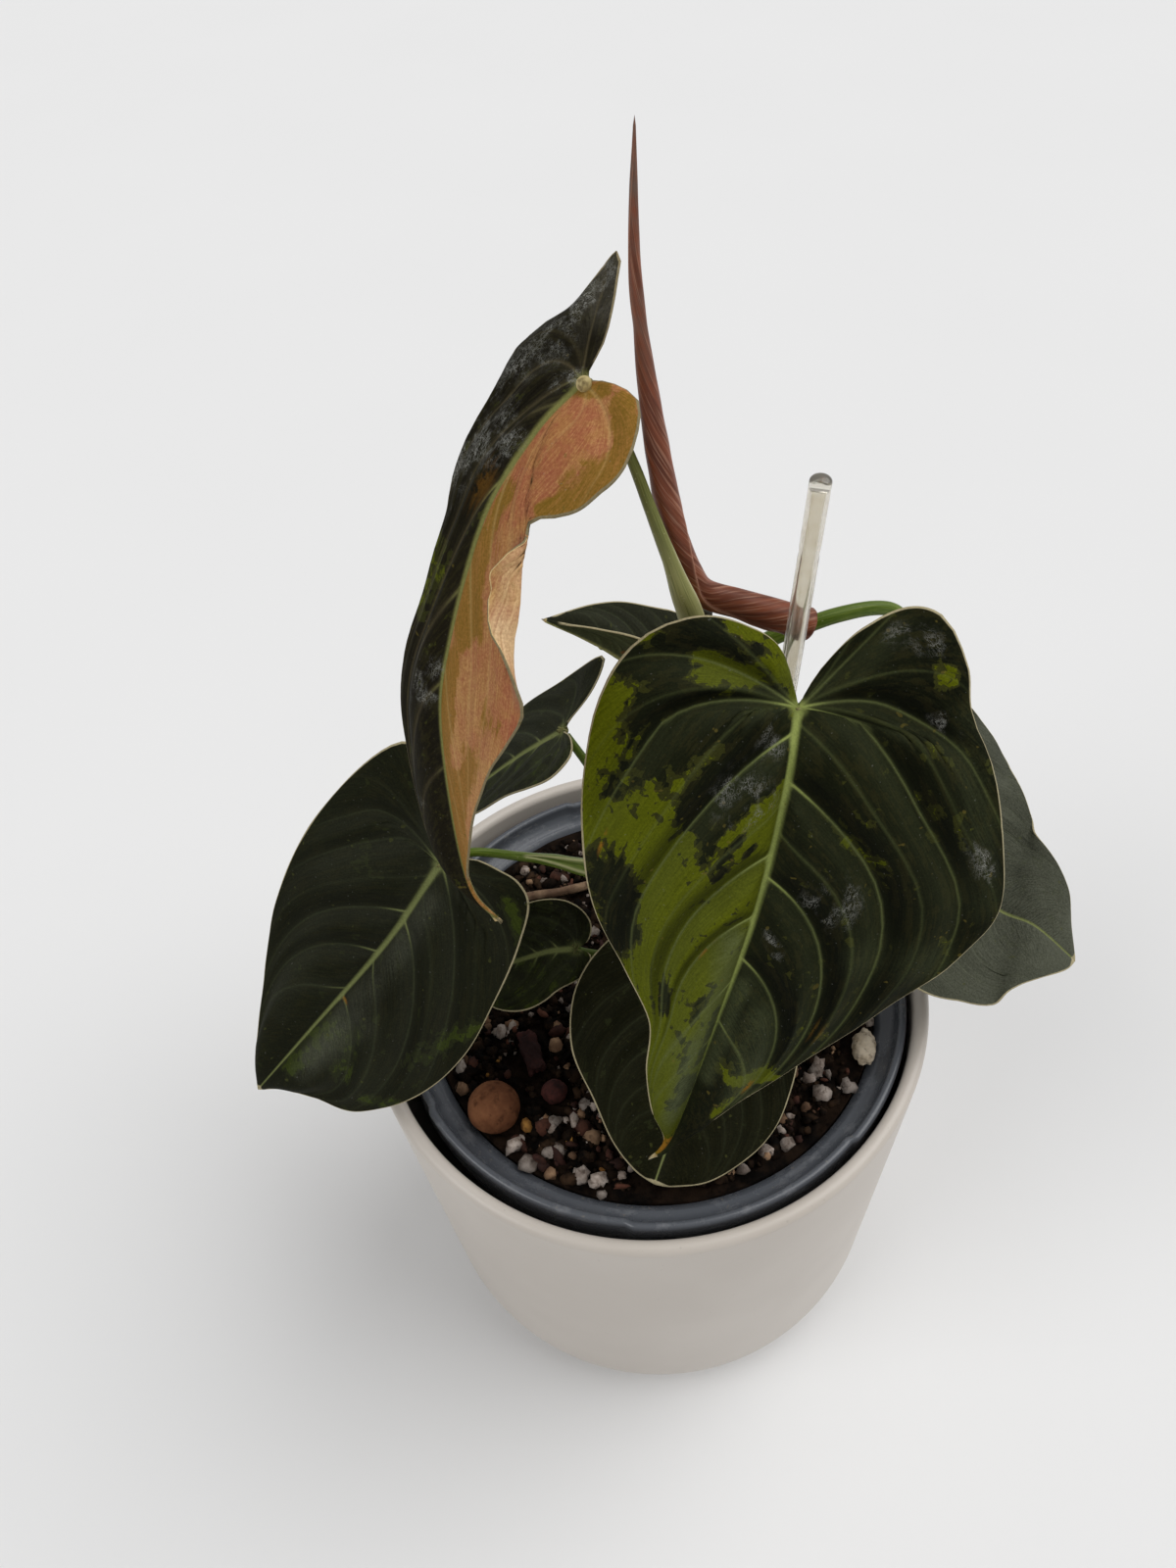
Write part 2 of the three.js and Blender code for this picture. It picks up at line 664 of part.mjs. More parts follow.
// Petioles, each from the stem to the back of its blade at the sinus
const PETIOLES = [
  {
    name: "petiole_front",
    path: [[10.7, -0.9, 167], [14, -7, 184], [21, -13, 205], [26.6, -15.8, 224]],
    radii: [1.9, 1.5, 1.3, 1.3],
  },
  {
    name: "petiole_tall",
    path: [
      [10.7, -2.5, 205], [11.6, -4.1, 222], [11.3, -4.1, 234], [7.6, -4.1, 247.5],
      [4.5, -2.8, 257.5], [2, 0, 265.2], [-1, 1, 273], [-3.7, -3.3, 279.8],
    ],
    radii: [2.2, 2.6, 2.1, 1.3, 0.9, 0.8, 0.8],
    steps: 18,
  },
  {
    name: "petiole_left",
    path: [
      [4.9, 3.7, 152], [-4, 1, 160], [-12.7, -2, 168], [-19, -5, 175.2], [-25, -8, 181.2],
      [-33, -9, 185], [-39, -8.8, 182.8],
    ],
    radii: [1.9, 2.2, 2.3, 1.5, 1, 0.9, 0.9],
    steps: 14,
  },
  {
    name: "petiole_rear_left",
    path: [[5.6, 7, 150], [-1, 10, 167], [-8, 13, 181], [-12.8, 17.2, 188.2]],
    radii: [1.5, 1.1, 0.9],
  },
  {
    name: "petiole_rear",
    path: [[10.9, 8, 172.5], [12, 13, 183], [13.6, 20, 191], [14.4, 21.8, 191.9]],
    radii: [1.4, 1.1, 0.9],
  },
  {
    name: "petiole_right",
    path: [
      [15.1, 5.6, 196.5], [23, 9.5, 213], [36, 10.5, 219], [50, 13, 218.4], [56.5, 14, 209],
      [57.5, 13, 196], [56.8, 11.5, 187], [56.2, 9.4, 180],
    ],
    radii: [1.9, 1.7, 1.5, 1.3, 1.1, 1.1],
    steps: 16,
  },
  {
    name: "petiole_lower_front",
    path: [[9.2, 0.3, 126.5], [11, -7, 136], [12.8, -13, 141.5], [13.2, -15, 142.6]],
    radii: [1.5, 1.1, 0.9],
  },
  {
    name: "petiole_small_low",
    path: [[3.6, 2.8, 122], [-4, -2, 131], [-11, -5.6, 139.5], [-15.1, -7.7, 144.9]],
    radii: [1.3, 1, 0.8],
  },
];

// Leaf that is still rolled: spike, elbow and open lower end
const ROLL = {
  path: [
    [4.2, 0, 311.5], [3.7, 0, 299.5], [3.8, 0, 290], [4.9, 0, 275.5], [7, 0, 258.5], [9, 0, 249],
    [11, 0.1, 242.2], [13.6, 0.3, 237.2], [19.4, 0.5, 234], [27.4, 0.8, 229.4], [32, 1, 227],
  ],
  radii: [0.2, 0.55, 0.8, 0.95, 1.15, 1.5, 1.8, 2.05, 2.15, 2.2, 2.3, 2.4, 2.6, 2.8, 3.1, 3.3],
};

/** Rolled leaf: a spiral section with a lip that winds down the roll and a hollowed lower end. */
function rolledLeaf() {
  const { path, radii } = ROLL;
  const steps = 24;
  const sides = 14;
  const curve = smoothCurve(path);
  const frames = curve.computeFrenetFrames(steps, false);
  const ring = (share, frame, scale, shift) => {
    const centre = curve.getPointAt(share).addScaledVector(frames.tangents[frame], shift);
    return Array.from({ length: sides }, (_, k) => {
      const angle = (k / sides) * 2 * Math.PI;
      const lip = 1 - (0.16 * k) / sides;
      const radius = between(radii, share) * lip * scale;
      const turn = angle + share * 2.6 * Math.PI;
      return centre
        .clone()
        .addScaledVector(frames.normals[frame], radius * Math.cos(turn))
        .addScaledVector(frames.binormals[frame], radius * Math.sin(turn));
    });
  };
  const rings = Array.from({ length: steps + 1 }, (_, i) => ring(i / steps, i, 1, 0));
  const tip = curve.getPointAt(0).addScaledVector(frames.tangents[0], -1.2);
  const hollow = curve.getPointAt(1).addScaledVector(frames.tangents[steps], -4.5);
  return skinned([[tip], ...rings, ring(1, steps, 0.74, -0.2), ring(1, steps, 0.6, -4), [hollow]]);
}

const group = new THREE.Group();
group.name = "potted_philodendron";

/** Adds one named mesh with its own finish. */
function addPart(name, geometry, color, roughness, metalness = 0) {
  const material = new THREE.MeshStandardMaterial({ color, roughness, metalness });
  material.name = name;
  geometry.computeVertexNormals();
  const mesh = new THREE.Mesh(geometry, material);
  mesh.name = name;
  group.add(mesh);
}

const BLADE_COLOURS = { leaf_blade_front: 0x4c5f1c, leaf_blade_tall: 0x7a5a45 };
const STONE_COLOURS = {
  clay_pebble: 0x6a4636,
  small_clay_pebble: 0x4a2420,
  bark_chip: 0x3a1c18,
  cream_pebble: 0xcbb89a,
};

addPart("planter", planter(), 0xd9d2c8, 0.45);
addPart("nursery_pot", nurseryPot(), 0x2c2d31, 0.4);
addPart("potting_mix", pottingMix(), 0x1d1613, 0.95);
addPart("main_stem", stalk(STEM), 0x4c5c2a, 0.6);
addPart("stake", stalk(STAKE), 0xdfe2dc, 0.08);
addPart("root_piece", stalk(ROOT), 0x8a6a52, 0.8);
STONES.forEach((stone) => addPart(stone.name, lump(stone), STONE_COLOURS[stone.name], 0.85));
PETIOLES.forEach((petiole) => addPart(petiole.name, stalk(petiole), 0x6f8a3a, 0.5));
BLADES.forEach((spec) => addPart(spec.name, blade(spec), BLADE_COLOURS[spec.name] ?? 0x25301f, 0.7));
addPart("new_leaf_roll", rolledLeaf(), 0x7a4a3c, 0.55);

export default group;
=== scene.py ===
"""
Dressed model of a potted variegated philodendron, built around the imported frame.

Sizes are in millimetres and meshes go into Blender in metres. +Z is up, the front looks along -Y.
"""
import json
import logging
import math
from collections.abc import Sequence
from dataclasses import dataclass, field, replace
from enum import Enum

import bpy
import numpy as np
from mathutils import Matrix

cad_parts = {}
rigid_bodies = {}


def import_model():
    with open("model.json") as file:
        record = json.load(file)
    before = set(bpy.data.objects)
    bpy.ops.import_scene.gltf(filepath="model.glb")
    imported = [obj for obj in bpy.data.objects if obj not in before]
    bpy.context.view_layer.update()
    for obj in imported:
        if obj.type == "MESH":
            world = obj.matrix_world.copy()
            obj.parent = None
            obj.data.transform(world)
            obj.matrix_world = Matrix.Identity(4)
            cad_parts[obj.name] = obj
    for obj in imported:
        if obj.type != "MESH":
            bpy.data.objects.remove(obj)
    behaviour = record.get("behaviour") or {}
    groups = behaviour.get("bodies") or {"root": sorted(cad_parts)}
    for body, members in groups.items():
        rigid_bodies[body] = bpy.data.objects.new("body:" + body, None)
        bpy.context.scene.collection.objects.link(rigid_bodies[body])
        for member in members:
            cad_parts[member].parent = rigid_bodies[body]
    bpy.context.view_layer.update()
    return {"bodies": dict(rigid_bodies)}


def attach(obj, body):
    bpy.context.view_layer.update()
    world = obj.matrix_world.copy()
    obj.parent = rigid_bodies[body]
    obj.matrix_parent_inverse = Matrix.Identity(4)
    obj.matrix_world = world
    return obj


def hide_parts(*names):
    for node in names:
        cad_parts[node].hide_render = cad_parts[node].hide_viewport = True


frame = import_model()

MM = 0.001
UV_NAME = "along_veins"
LOG = logging.getLogger("philodendron")

Array = np.ndarray
Colour = tuple[float, float, float]
Point = tuple[float, float, float]
Flat = tuple[float, float]
Numbers = Sequence[float]
Material = bpy.types.Material
Node = bpy.types.Node
NodeTree = bpy.types.NodeTree
Socket = bpy.types.NodeSocket
Outputs = bpy.types.bpy_prop_collection
Number = Socket | float
Tint = Socket | Colour


def read_evenly(values: Numbers, share: Array) -> Array:
    """Linear reading of values that are spread evenly over a share of 0 to 1.

    Args:
        values: The values, first to last.
        share: Where to read, clipped to 0 to 1.

    Returns:
        The values read, in the shape of share.
    """
    return np.interp(np.clip(share, 0, 1), np.linspace(0, 1, len(values)), values)


def bell(distance: Array, width: Array | float) -> Array:
    """Bell curve exp(-(distance / width)^2)."""
    return np.exp(-((distance / width) ** 2))


def ease(value: Array, low: float, high: float) -> Array:
    """Smooth step 3t^2 - 2t^3 with t running from 0 at low to 1 at high."""
    t = np.clip((value - low) / (high - low), 0, 1)
    return t * t * (3 - 2 * t)


def unit(vectors: Array) -> Array:
    """Vectors divided by their lengths."""
    return vectors / np.maximum(np.linalg.norm(vectors, axis=-1, keepdims=True), 1e-12)


def waves(x: Array, y: Array, z: Array, size: float, seed: int) -> Array:
    """Smooth pseudo-random field: the mean of eight sines with seeded directions and phases.

    Args:
        x: First coordinate.
        y: Second coordinate.
        z: Third coordinate.
        size: Rough distance between a hill and the next, in the same unit.
        seed: Seed of the directions.

    Returns:
        Values of about -1 to 1.
    """
    random = np.random.default_rng(seed)
    turns = unit(random.normal(size=(8, 3))) * random.uniform(0.6, 1.6, (8, 1)) * 2 * math.pi / size
    phases = random.uniform(0, 2 * math.pi, 8)
    reach = np.stack(np.broadcast_arrays(x, y, z), -1) @ turns.T + phases
    return np.sin(reach).mean(-1) * 2


def lattice(x: Array, y: Array, size: float, seed: int) -> Array:
    """Value noise: seeded values on a square lattice, blended with smooth steps.

    Args:
        x: First coordinate.
        y: Second coordinate.
        size: Side of a lattice cell, in the same unit.
        seed: Seed of the values.

    Returns:
        Values of -1 to 1.
    """
    table = np.random.default_rng(seed).uniform(-1, 1, (256, 256))
    u, v = x / size + 128, y / size + 128
    i, j = np.floor(u).astype(int), np.floor(v).astype(int)
    f, g = ease(u - i, 0, 1), ease(v - j, 0, 1)
    low = table[i % 256, j % 256] * (1 - f) + table[(i + 1) % 256, j % 256] * f
    high = table[i % 256, (j + 1) % 256] * (1 - f) + table[(i + 1) % 256, (j + 1) % 256] * f
    return low * (1 - g) + high * g


class SmoothLine:
    """Uniform Catmull-Rom curve through points, read by share of its length."""

    STEPS = 400

    def __init__(self, points: list) -> None:
        """Measures the curve.

        Args:
            points: Two or more points of two or three coordinates.
        """
        given = np.asarray(points, float)
        self.points = np.vstack([2 * given[0] - given[1], given, 2 * given[-1] - given[-2]])
        self.spans = len(given) - 1
        self.knots = np.linspace(0, 1, self.STEPS + 1)
        steps = np.linalg.norm(np.diff(self._raw(self.knots), axis=0), axis=1)
        self.lengths = np.concatenate([[0], np.cumsum(steps)])
        self.length = float(self.lengths[-1])

    def _raw(self, t: Array) -> Array:
        """Cubic through the four points around t, where t is spread evenly over the points.

        Args:
            t: Curve parameters from 0 to 1.

        Returns:
            The points.
        """
        place = np.clip(t, 0, 1) * self.spans
        index = np.minimum(place.astype(int), self.spans - 1)
        f = (place - index)[..., None]
        a, b, c, d = (self.points[index + k] for k in range(4))
        square = a - 2.5 * b + 2 * c - 0.5 * d
        cube = -0.5 * a + 1.5 * b - 1.5 * c + 0.5 * d
        return b + 0.5 * f * (c - a) + f**2 * square + f**3 * cube

    def _knot(self, share: Array) -> Array:
        """Curve parameter at a share of the length."""
        return np.interp(np.clip(share, 0, 1) * self.length, self.lengths, self.knots)

    def at(self, share: Array) -> Array:
        """Points at shares of the length."""
        return self._raw(self._knot(share))

    def tangent(self, share: Array) -> Array:
        """Unit directions at shares of the length."""
        knot = self._knot(share)
        return unit(self._raw(np.minimum(knot + 1e-4, 1)) - self._raw(np.maximum(knot - 1e-4, 0)))


def grid_faces(rows: int, columns: int, closed: bool = False) -> Array:
    """Quads of a grid of rows by columns, whose point (i, j) has the index i * columns + j.

    Args:
        rows: Number of rows.
        columns: Number of points in a row.
        closed: Whether each row is a ring.

    Returns:
        Quads as an (n, 4) array, turned so that row x column points outwards.
    """
    i, j = np.meshgrid(np.arange(rows - 1), np.arange(columns if closed else columns - 1), indexing="ij")
    after = (j + 1) % columns
    corners = [i * columns + j, i * columns + after, (i + 1) * columns + after, (i + 1) * columns + j]
    return np.stack(corners, -1).reshape(-1, 4)


def end_fans(rows: int, columns: int) -> list[Array]:
    """Triangles that close a tube of rings with one point before it and one after it.

    Args:
        rows: Number of rings.
        columns: Number of points in a ring.

    Returns:
        Triangles of the first end and of the last.
    """
    count = rows * columns
    first = np.arange(columns)
    after = (first + 1) % columns
    last = count - columns
    return [
        np.stack([np.full(columns, count), after, first], 1),
        np.stack([np.full(columns, count + 1), first + last, after + last], 1),
    ]


@dataclass
class Skin:
    """Points and faces on their way into Blender, with values for each point."""

    points: Array
    faces: list[Array]
    masks: dict[str, Array] = field(default_factory=dict)
    uv: Array | None = None
    finish_index: list[Array] | None = None

    def object(self, name: str, finishes: list[Material]) -> bpy.types.Object:
        """Makes the Blender object, at the origin, with its place in its mesh.

        Args:
            name: Name of the piece.
            finishes: Materials in the order of finish_index.

        Returns:
            The object, linked to the scene.
        """
        loops = np.concatenate([f.reshape(-1) for f in self.faces])
        sizes = np.concatenate([np.full(len(f), f.shape[1]) for f in self.faces])
        mesh = bpy.data.meshes.new(name)
        mesh.vertices.add(len(self.points))
        mesh.vertices.foreach_set("co", (self.points * MM).astype(np.float32).reshape(-1))
        mesh.loops.add(len(loops))
        mesh.loops.foreach_set("vertex_index", loops.astype(np.int32))
        mesh.polygons.add(len(sizes))
        starts = np.concatenate([[0], np.cumsum(sizes)[:-1]])
        mesh.polygons.foreach_set("loop_start", starts.astype(np.int32))
        mesh.polygons.foreach_set("loop_total", sizes.astype(np.int32))
        for finish in finishes:
            mesh.materials.append(finish)
        if self.finish_index is not None:
            index = np.concatenate(self.finish_index).astype(np.int32)
            mesh.polygons.foreach_set("material_index", index)
        mesh.update(calc_edges=True)
        mesh.validate()
        if self.uv is not None:
            layer = mesh.uv_layers.new(name=UV_NAME)
            layer.data.foreach_set("uv", self.uv[loops].astype(np.float32).reshape(-1))
        for mask, values in self.masks.items():
            attribute = mesh.attributes.new(mask, "FLOAT", "POINT")
            attribute.data.foreach_set("value", values.astype(np.float32).reshape(-1))
        mesh.shade_smooth()
        made = bpy.data.objects.new(name, mesh)
        bpy.context.scene.collection.objects.link(made)
        return made


def turned(profile: list[Flat], centre: Flat = (0.0, 0.0), segments: int = 192) -> Skin:
    """Body of revolution: rings of points about an upright axis, closed at both poles.

    Args:
        profile: Pairs of radius and height that start and end on the axis.
        centre: Place of the axis.
        segments: Points in a ring.

    Returns:
        The closed skin.
    """
    pairs = np.array(profile, float)
    angle = np.linspace(0, 2 * math.pi, segments, endpoint=False)
    middle = pairs[1:-1]
    rings = np.stack(np.broadcast_arrays(
        middle[:, :1] * np.cos(angle) + centre[0],
        middle[:, :1] * np.sin(angle) + centre[1],
        middle[:, 1:],
    ), -1).reshape(-1, 3)
    poles = [[*centre, pairs[0, 1]], [*centre, pairs[-1, 1]]]
    caps = end_fans(len(middle), segments)
    return Skin(np.concatenate([rings, poles]), [grid_faces(len(middle), segments, closed=True), *caps])


def arc(centre: Flat, radius: float, start: float, end: float, steps: int) -> list[Flat]:
    """Points of an arc as [radius, height] pairs.

    Args:
        centre: Centre of the arc.
        radius: Radius of the arc.
        start: First angle in degrees.
        end: Last angle in degrees.
        steps: Number of steps.

    Returns:
        The points, both ends included.
    """
    angle = np.radians(np.linspace(start, end, steps + 1))
    return [(centre[0] + radius * math.cos(a), centre[1] + radius * math.sin(a)) for a in angle]


def carve(body: bpy.types.Object, cutters: list[Skin]) -> None:
    """Cuts closed shapes out of a piece and applies the result.

    Args:
        body: The piece.
        cutters: Closed skins; each is removed once it has cut.
    """
    for cutter in cutters:
        tool = cutter.object("cutter", [])
        cut = body.modifiers.new("cut", "BOOLEAN")
        cut.operation = "DIFFERENCE"
        cut.solver = "EXACT"
        cut.object = tool
        view = bpy.context.evaluated_depsgraph_get()
        result = bpy.data.meshes.new_from_object(body.evaluated_get(view))
        body.modifiers.clear()
        body.data, old = result, body.data
        bpy.data.meshes.remove(old)
        bpy.data.objects.remove(tool)
    body.data.shade_smooth()


def install(made: bpy.types.Object, node: str | None = None) -> None:
    """Puts a piece on the plant's body, in place of a CAD node where one is named.

    Args:
        made: The piece.
        node: CAD node that the piece stands for.
    """
    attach(made, next(iter(frame["bodies"])))
    if node:
        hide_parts(node)
    triangles = sum(len(p.vertices) - 2 for p in made.data.polygons)
    LOG.info("%s: %d triangles", made.name, triangles)


class Graph:
    """Short way to add and link the nodes of one tree."""

    def __init__(self, tree: NodeTree) -> None:
        """Keeps the tree."""
        self.tree = tree

    def feed(self, node: Node, inputs: dict) -> None:
        """Links or sets a node's inputs.

        Args:
            node: The node.
            inputs: Input name or index to a value or an output socket.
        """
        for key, value in inputs.items():
            if isinstance(value, Socket):
                self.tree.links.new(value, node.inputs[key])
            else:
                node.inputs[key].default_value = value

    def add(self, kind: str, inputs: dict | None = None, **settings) -> Node:
        """Adds a node.

        Args:
            kind: Node type.
            inputs: Input name or index to a value or an output socket.
            **settings: Properties of the node.

        Returns:
            The node.
        """
        made = self.tree.nodes.new(kind)
        for key, value in settings.items():
            setattr(made, key, value)
        self.feed(made, inputs or {})
        return made

    def value(self, operation: str, *inputs: Number, clamp: bool = False) -> Socket:
        """Result of a Math node on values or sockets."""
        node = self.add("ShaderNodeMath", dict(enumerate(inputs)), operation=operation, use_clamp=clamp)
        return node.outputs[0]

    def plus(self, first: Number, second: Number, clamp: bool = False) -> Socket:
        """First plus second."""
        return self.value("ADD", first, second, clamp=clamp)

    def minus(self, first: Number, second: Number) -> Socket:
        """First minus second."""
        return self.value("SUBTRACT", first, second)

    def times(self, first: Number, second: Number, clamp: bool = False) -> Socket:
        """First times second."""
        return self.value("MULTIPLY", first, second, clamp=clamp)

    def blend(self, share: Number, first: Tint, second: Tint, mode: str = "MIX") -> Socket:
        """Mixes two colours.

        Args:
            share: How much of the second colour.
            first: First colour.
            second: Second colour.
            mode: Blend mode.

        Returns:
            The mixed colour.
        """
        under, over = (tint if isinstance(tint, Socket) else (*tint, 1) for tint in (first, second))
        inputs = {0: share, 6: under, 7: over}
        return self.add("ShaderNodeMix", inputs, data_type="RGBA", blend_type=mode).outputs[2]

    def dim(self, colour: Socket, by: Socket) -> Socket:
        """Colour times a value."""
        grey = self.add("ShaderNodeCombineColor", {0: by, 1: by, 2: by}).outputs[0]
        return self.blend(1.0, colour, grey, "MULTIPLY")

    def group(self, tree: NodeTree, **inputs: Number) -> Outputs:
        """Outputs of a node group, with its inputs linked or set by name."""
        return self.add("ShaderNodeGroup", inputs, node_tree=tree).outputs

    def step(self, value: Number, low: float, high: float) -> Socket:
        """Smooth step of a value between two limits."""
        ends = {"From Min": low, "From Max": high, "Value": value}
        return self.add("ShaderNodeMapRange", ends, interpolation_type="SMOOTHSTEP").outputs[0]

    def noise(self, vector: Socket, scale: Number, detail: float = 3, roughness: float = 0.55) -> Socket:
        """Value of a noise texture."""
        inputs = {"Vector": vector, "Scale": scale, "Detail": detail, "Roughness": roughness}
        return self.add("ShaderNodeTexNoise", inputs).outputs["Fac"]

    def mask(self, name: str) -> Socket:
        """Value of a mesh attribute."""
        return self.add("ShaderNodeAttribute", attribute_name=name).outputs["Fac"]

    def place(self) -> Socket:
        """Object coordinates."""
        return self.add("ShaderNodeTexCoord").outputs["Object"]

    def along(self) -> Socket:
        """Coordinates that run with the veins of a blade or with the length of a stalk."""
        return self.add("ShaderNodeUVMap", uv_map=UV_NAME).outputs[0]

    def stretched(self, vector: Socket, scale: Point) -> Socket:
        """Coordinates multiplied along each axis."""
        return self.add("ShaderNodeMapping", {"Vector": vector, "Scale": scale}).outputs[0]

    def bump(self, height: Socket, strength: float, distance: float) -> Socket:
        """Normal of a Bump node; distance is in millimetres."""
        inputs = {"Height": height, "Strength": strength, "Distance": distance * MM}
        return self.add("ShaderNodeBump", inputs).outputs[0]


class Effects:
    """Node groups that several finishes share, each built once."""

    def __init__(self) -> None:
        """Builds the groups."""
        self.mottle = self._mottle()
        self.nap = self._nap()
        self.flecks = self._flecks()
        self.grain = self._grain()

    @staticmethod
    def _group(name: str, inputs: dict, outputs: list[str]) -> tuple[Graph, dict, Node]:
        """Makes an empty group with its sockets.

        Args:
            name: Name of the group.
            inputs: Input name to a default value, or to None for a vector.
            outputs: Names of the float outputs.

        Returns:
            The graph, the sockets that the group is given, and its output node.
        """
        tree = bpy.data.node_groups.new(name, "ShaderNodeTree")
        for key, value in inputs.items():
            kind = "NodeSocketVector" if value is None else "NodeSocketFloat"
            socket = tree.interface.new_socket(key, in_out="INPUT", socket_type=kind)
            if value is not None:
                socket.default_value = value
        for key in outputs:
            tree.interface.new_socket(key, in_out="OUTPUT", socket_type="NodeSocketFloat")
        return Graph(tree), tree.nodes.new("NodeGroupInput").outputs, tree.nodes.new("NodeGroupOutput")

    def _mottle(self) -> NodeTree:
        """Ragged patches: a soft field broken by noise that runs with the side veins, cut at two levels.

        Returns:
            The group.
        """
        graph, given, end = self._group(
            "Ragged patches",
            {"Vector": None, "Along": None, "Field": 0.5, "Coarse": 0.5, "Fine": 0.4, "Tiles": 0.2},
            ["Light", "Middle", "Olive", "Shade", "Specks", "Level"],
        )
        place, along = given["Vector"], given["Along"]
        coarse = graph.noise(graph.stretched(along, (13, 5, 1)), 1, 3, 0.6)
        middle = graph.noise(place, 240, 5, 0.68)
        fine = graph.noise(graph.stretched(along, (70, 16, 1)), 1, 4, 0.65)
        wide = graph.times(graph.minus(coarse, 0.5), given["Coarse"])
        small = graph.times(graph.minus(middle, 0.5), given["Fine"])
        strokes = graph.times(graph.minus(fine, 0.5), 0.14)
        cells = graph.add("ShaderNodeTexVoronoi", {"Vector": place, "Scale": 520.0}).outputs["Color"]
        tiles = graph.times(graph.minus(cells, 0.5), given["Tiles"])
        level = graph.plus(graph.plus(given["Field"], wide), graph.plus(small, strokes))
        level = graph.plus(level, tiles)
        islands = graph.noise(graph.stretched(along, (30, 9, 1)), 1, 5, 0.7)
        islands = graph.plus(islands, graph.times(tiles, 0.4))
        graph.feed(end, {
            "Light": graph.step(level, 0.485, 0.515),
            "Middle": graph.step(level, 0.34, 0.38),
            "Olive": graph.step(islands, 0.5, 0.56),
            "Shade": middle,
            "Specks": graph.step(graph.noise(place, 520, 1, 0.5), 0.74, 0.78),
            "Level": level,
        })
        return graph.tree

    def _nap(self) -> NodeTree:
        """Velvet: fine cells over faint streaks that run with the side veins.

        Returns:
            The group.
        """
        graph, given, end = self._group("Velvet nap", {"Place": None, "Along": None}, ["Height", "Shade"])
        cells = graph.noise(given["Place"], 2600, 2, 0.6)
        streaks = graph.noise(graph.stretched(given["Along"], (150, 9, 1)), 1, 3, 0.6)
        clouds = graph.noise(given["Place"], 45, 3, 0.5)
        shade = graph.plus(graph.times(streaks, 0.6), graph.times(clouds, 0.6))
        graph.feed(end, {
            "Height": graph.plus(cells, graph.times(streaks, 0.8)),
            "Shade": graph.plus(shade, graph.times(cells, 0.3)),
        })
        return graph.tree

    def _flecks(self) -> NodeTree:
        """Pale specks: a few everywhere, and crowded scratches where the mask asks for them.

        Returns:
            The group.
        """
        inputs = {"Vector": None, "Along": None, "Where": 0.0}
        graph, given, end = self._group("Pale flecks", inputs, ["Mask"])
        place = given["Vector"]
        specks = graph.step(graph.noise(place, 1700, 1, 0.5), 0.74, 0.8)
        curls = graph.value("ABSOLUTE", graph.minus(graph.noise(place, 480, 5, 0.7), 0.5))
        strokes = graph.noise(graph.stretched(given["Along"], (26, 90, 1)), 1, 5, 0.7)
        ridge = graph.value("MINIMUM", curls, graph.value("ABSOLUTE", graph.minus(strokes, 0.5)))
        scratch = graph.minus(1.0, graph.step(ridge, 0.004, 0.02))
        gate = graph.step(graph.noise(place, 260, 2, 0.5), 0.4, 0.56)
        crowd = graph.times(graph.times(scratch, gate), given["Where"])
        graph.feed(end, {"Mask": graph.plus(graph.times(specks, 0.2), crowd, clamp=True)})
        return graph.tree

    def _grain(self) -> NodeTree:
        """Fine all-over relief and a slow change of tone, for glaze, plastic and clay.

        Returns:
            The group.
        """
        graph, given, end = self._group("Fine grain", {"Vector": None, "Scale": 600.0}, ["Height", "Shade"])
        graph.feed(end, {
            "Height": graph.noise(given["Vector"], given["Scale"], 4, 0.6),
            "Shade": graph.noise(given["Vector"], 14, 4, 0.5),
        })
        return graph.tree


class Side(Enum):
    """The two faces of a blade."""

    UPPER = 0
    UNDER = 1


@dataclass(frozen=True)
class Finish:
    """Named finish. Each kind wires its own nodes to the shader."""

    name: str

    def material(self, effects: Effects) -> Material:
        """Builds the finish.

        Args:
            effects: Shared node groups.

        Returns:
            The material.
        """
        made = bpy.data.materials.new(self.name)
        made.use_nodes = True
        graph = Graph(made.node_tree)
        shader = made.node_tree.nodes["Principled BSDF"]
        graph.feed(shader, self._wired(graph, effects))
        return made

    def _wired(self, graph: Graph, effects: Effects) -> dict:
        """Inputs of the shader by name, worked out by the kind of finish."""
        raise NotImplementedError


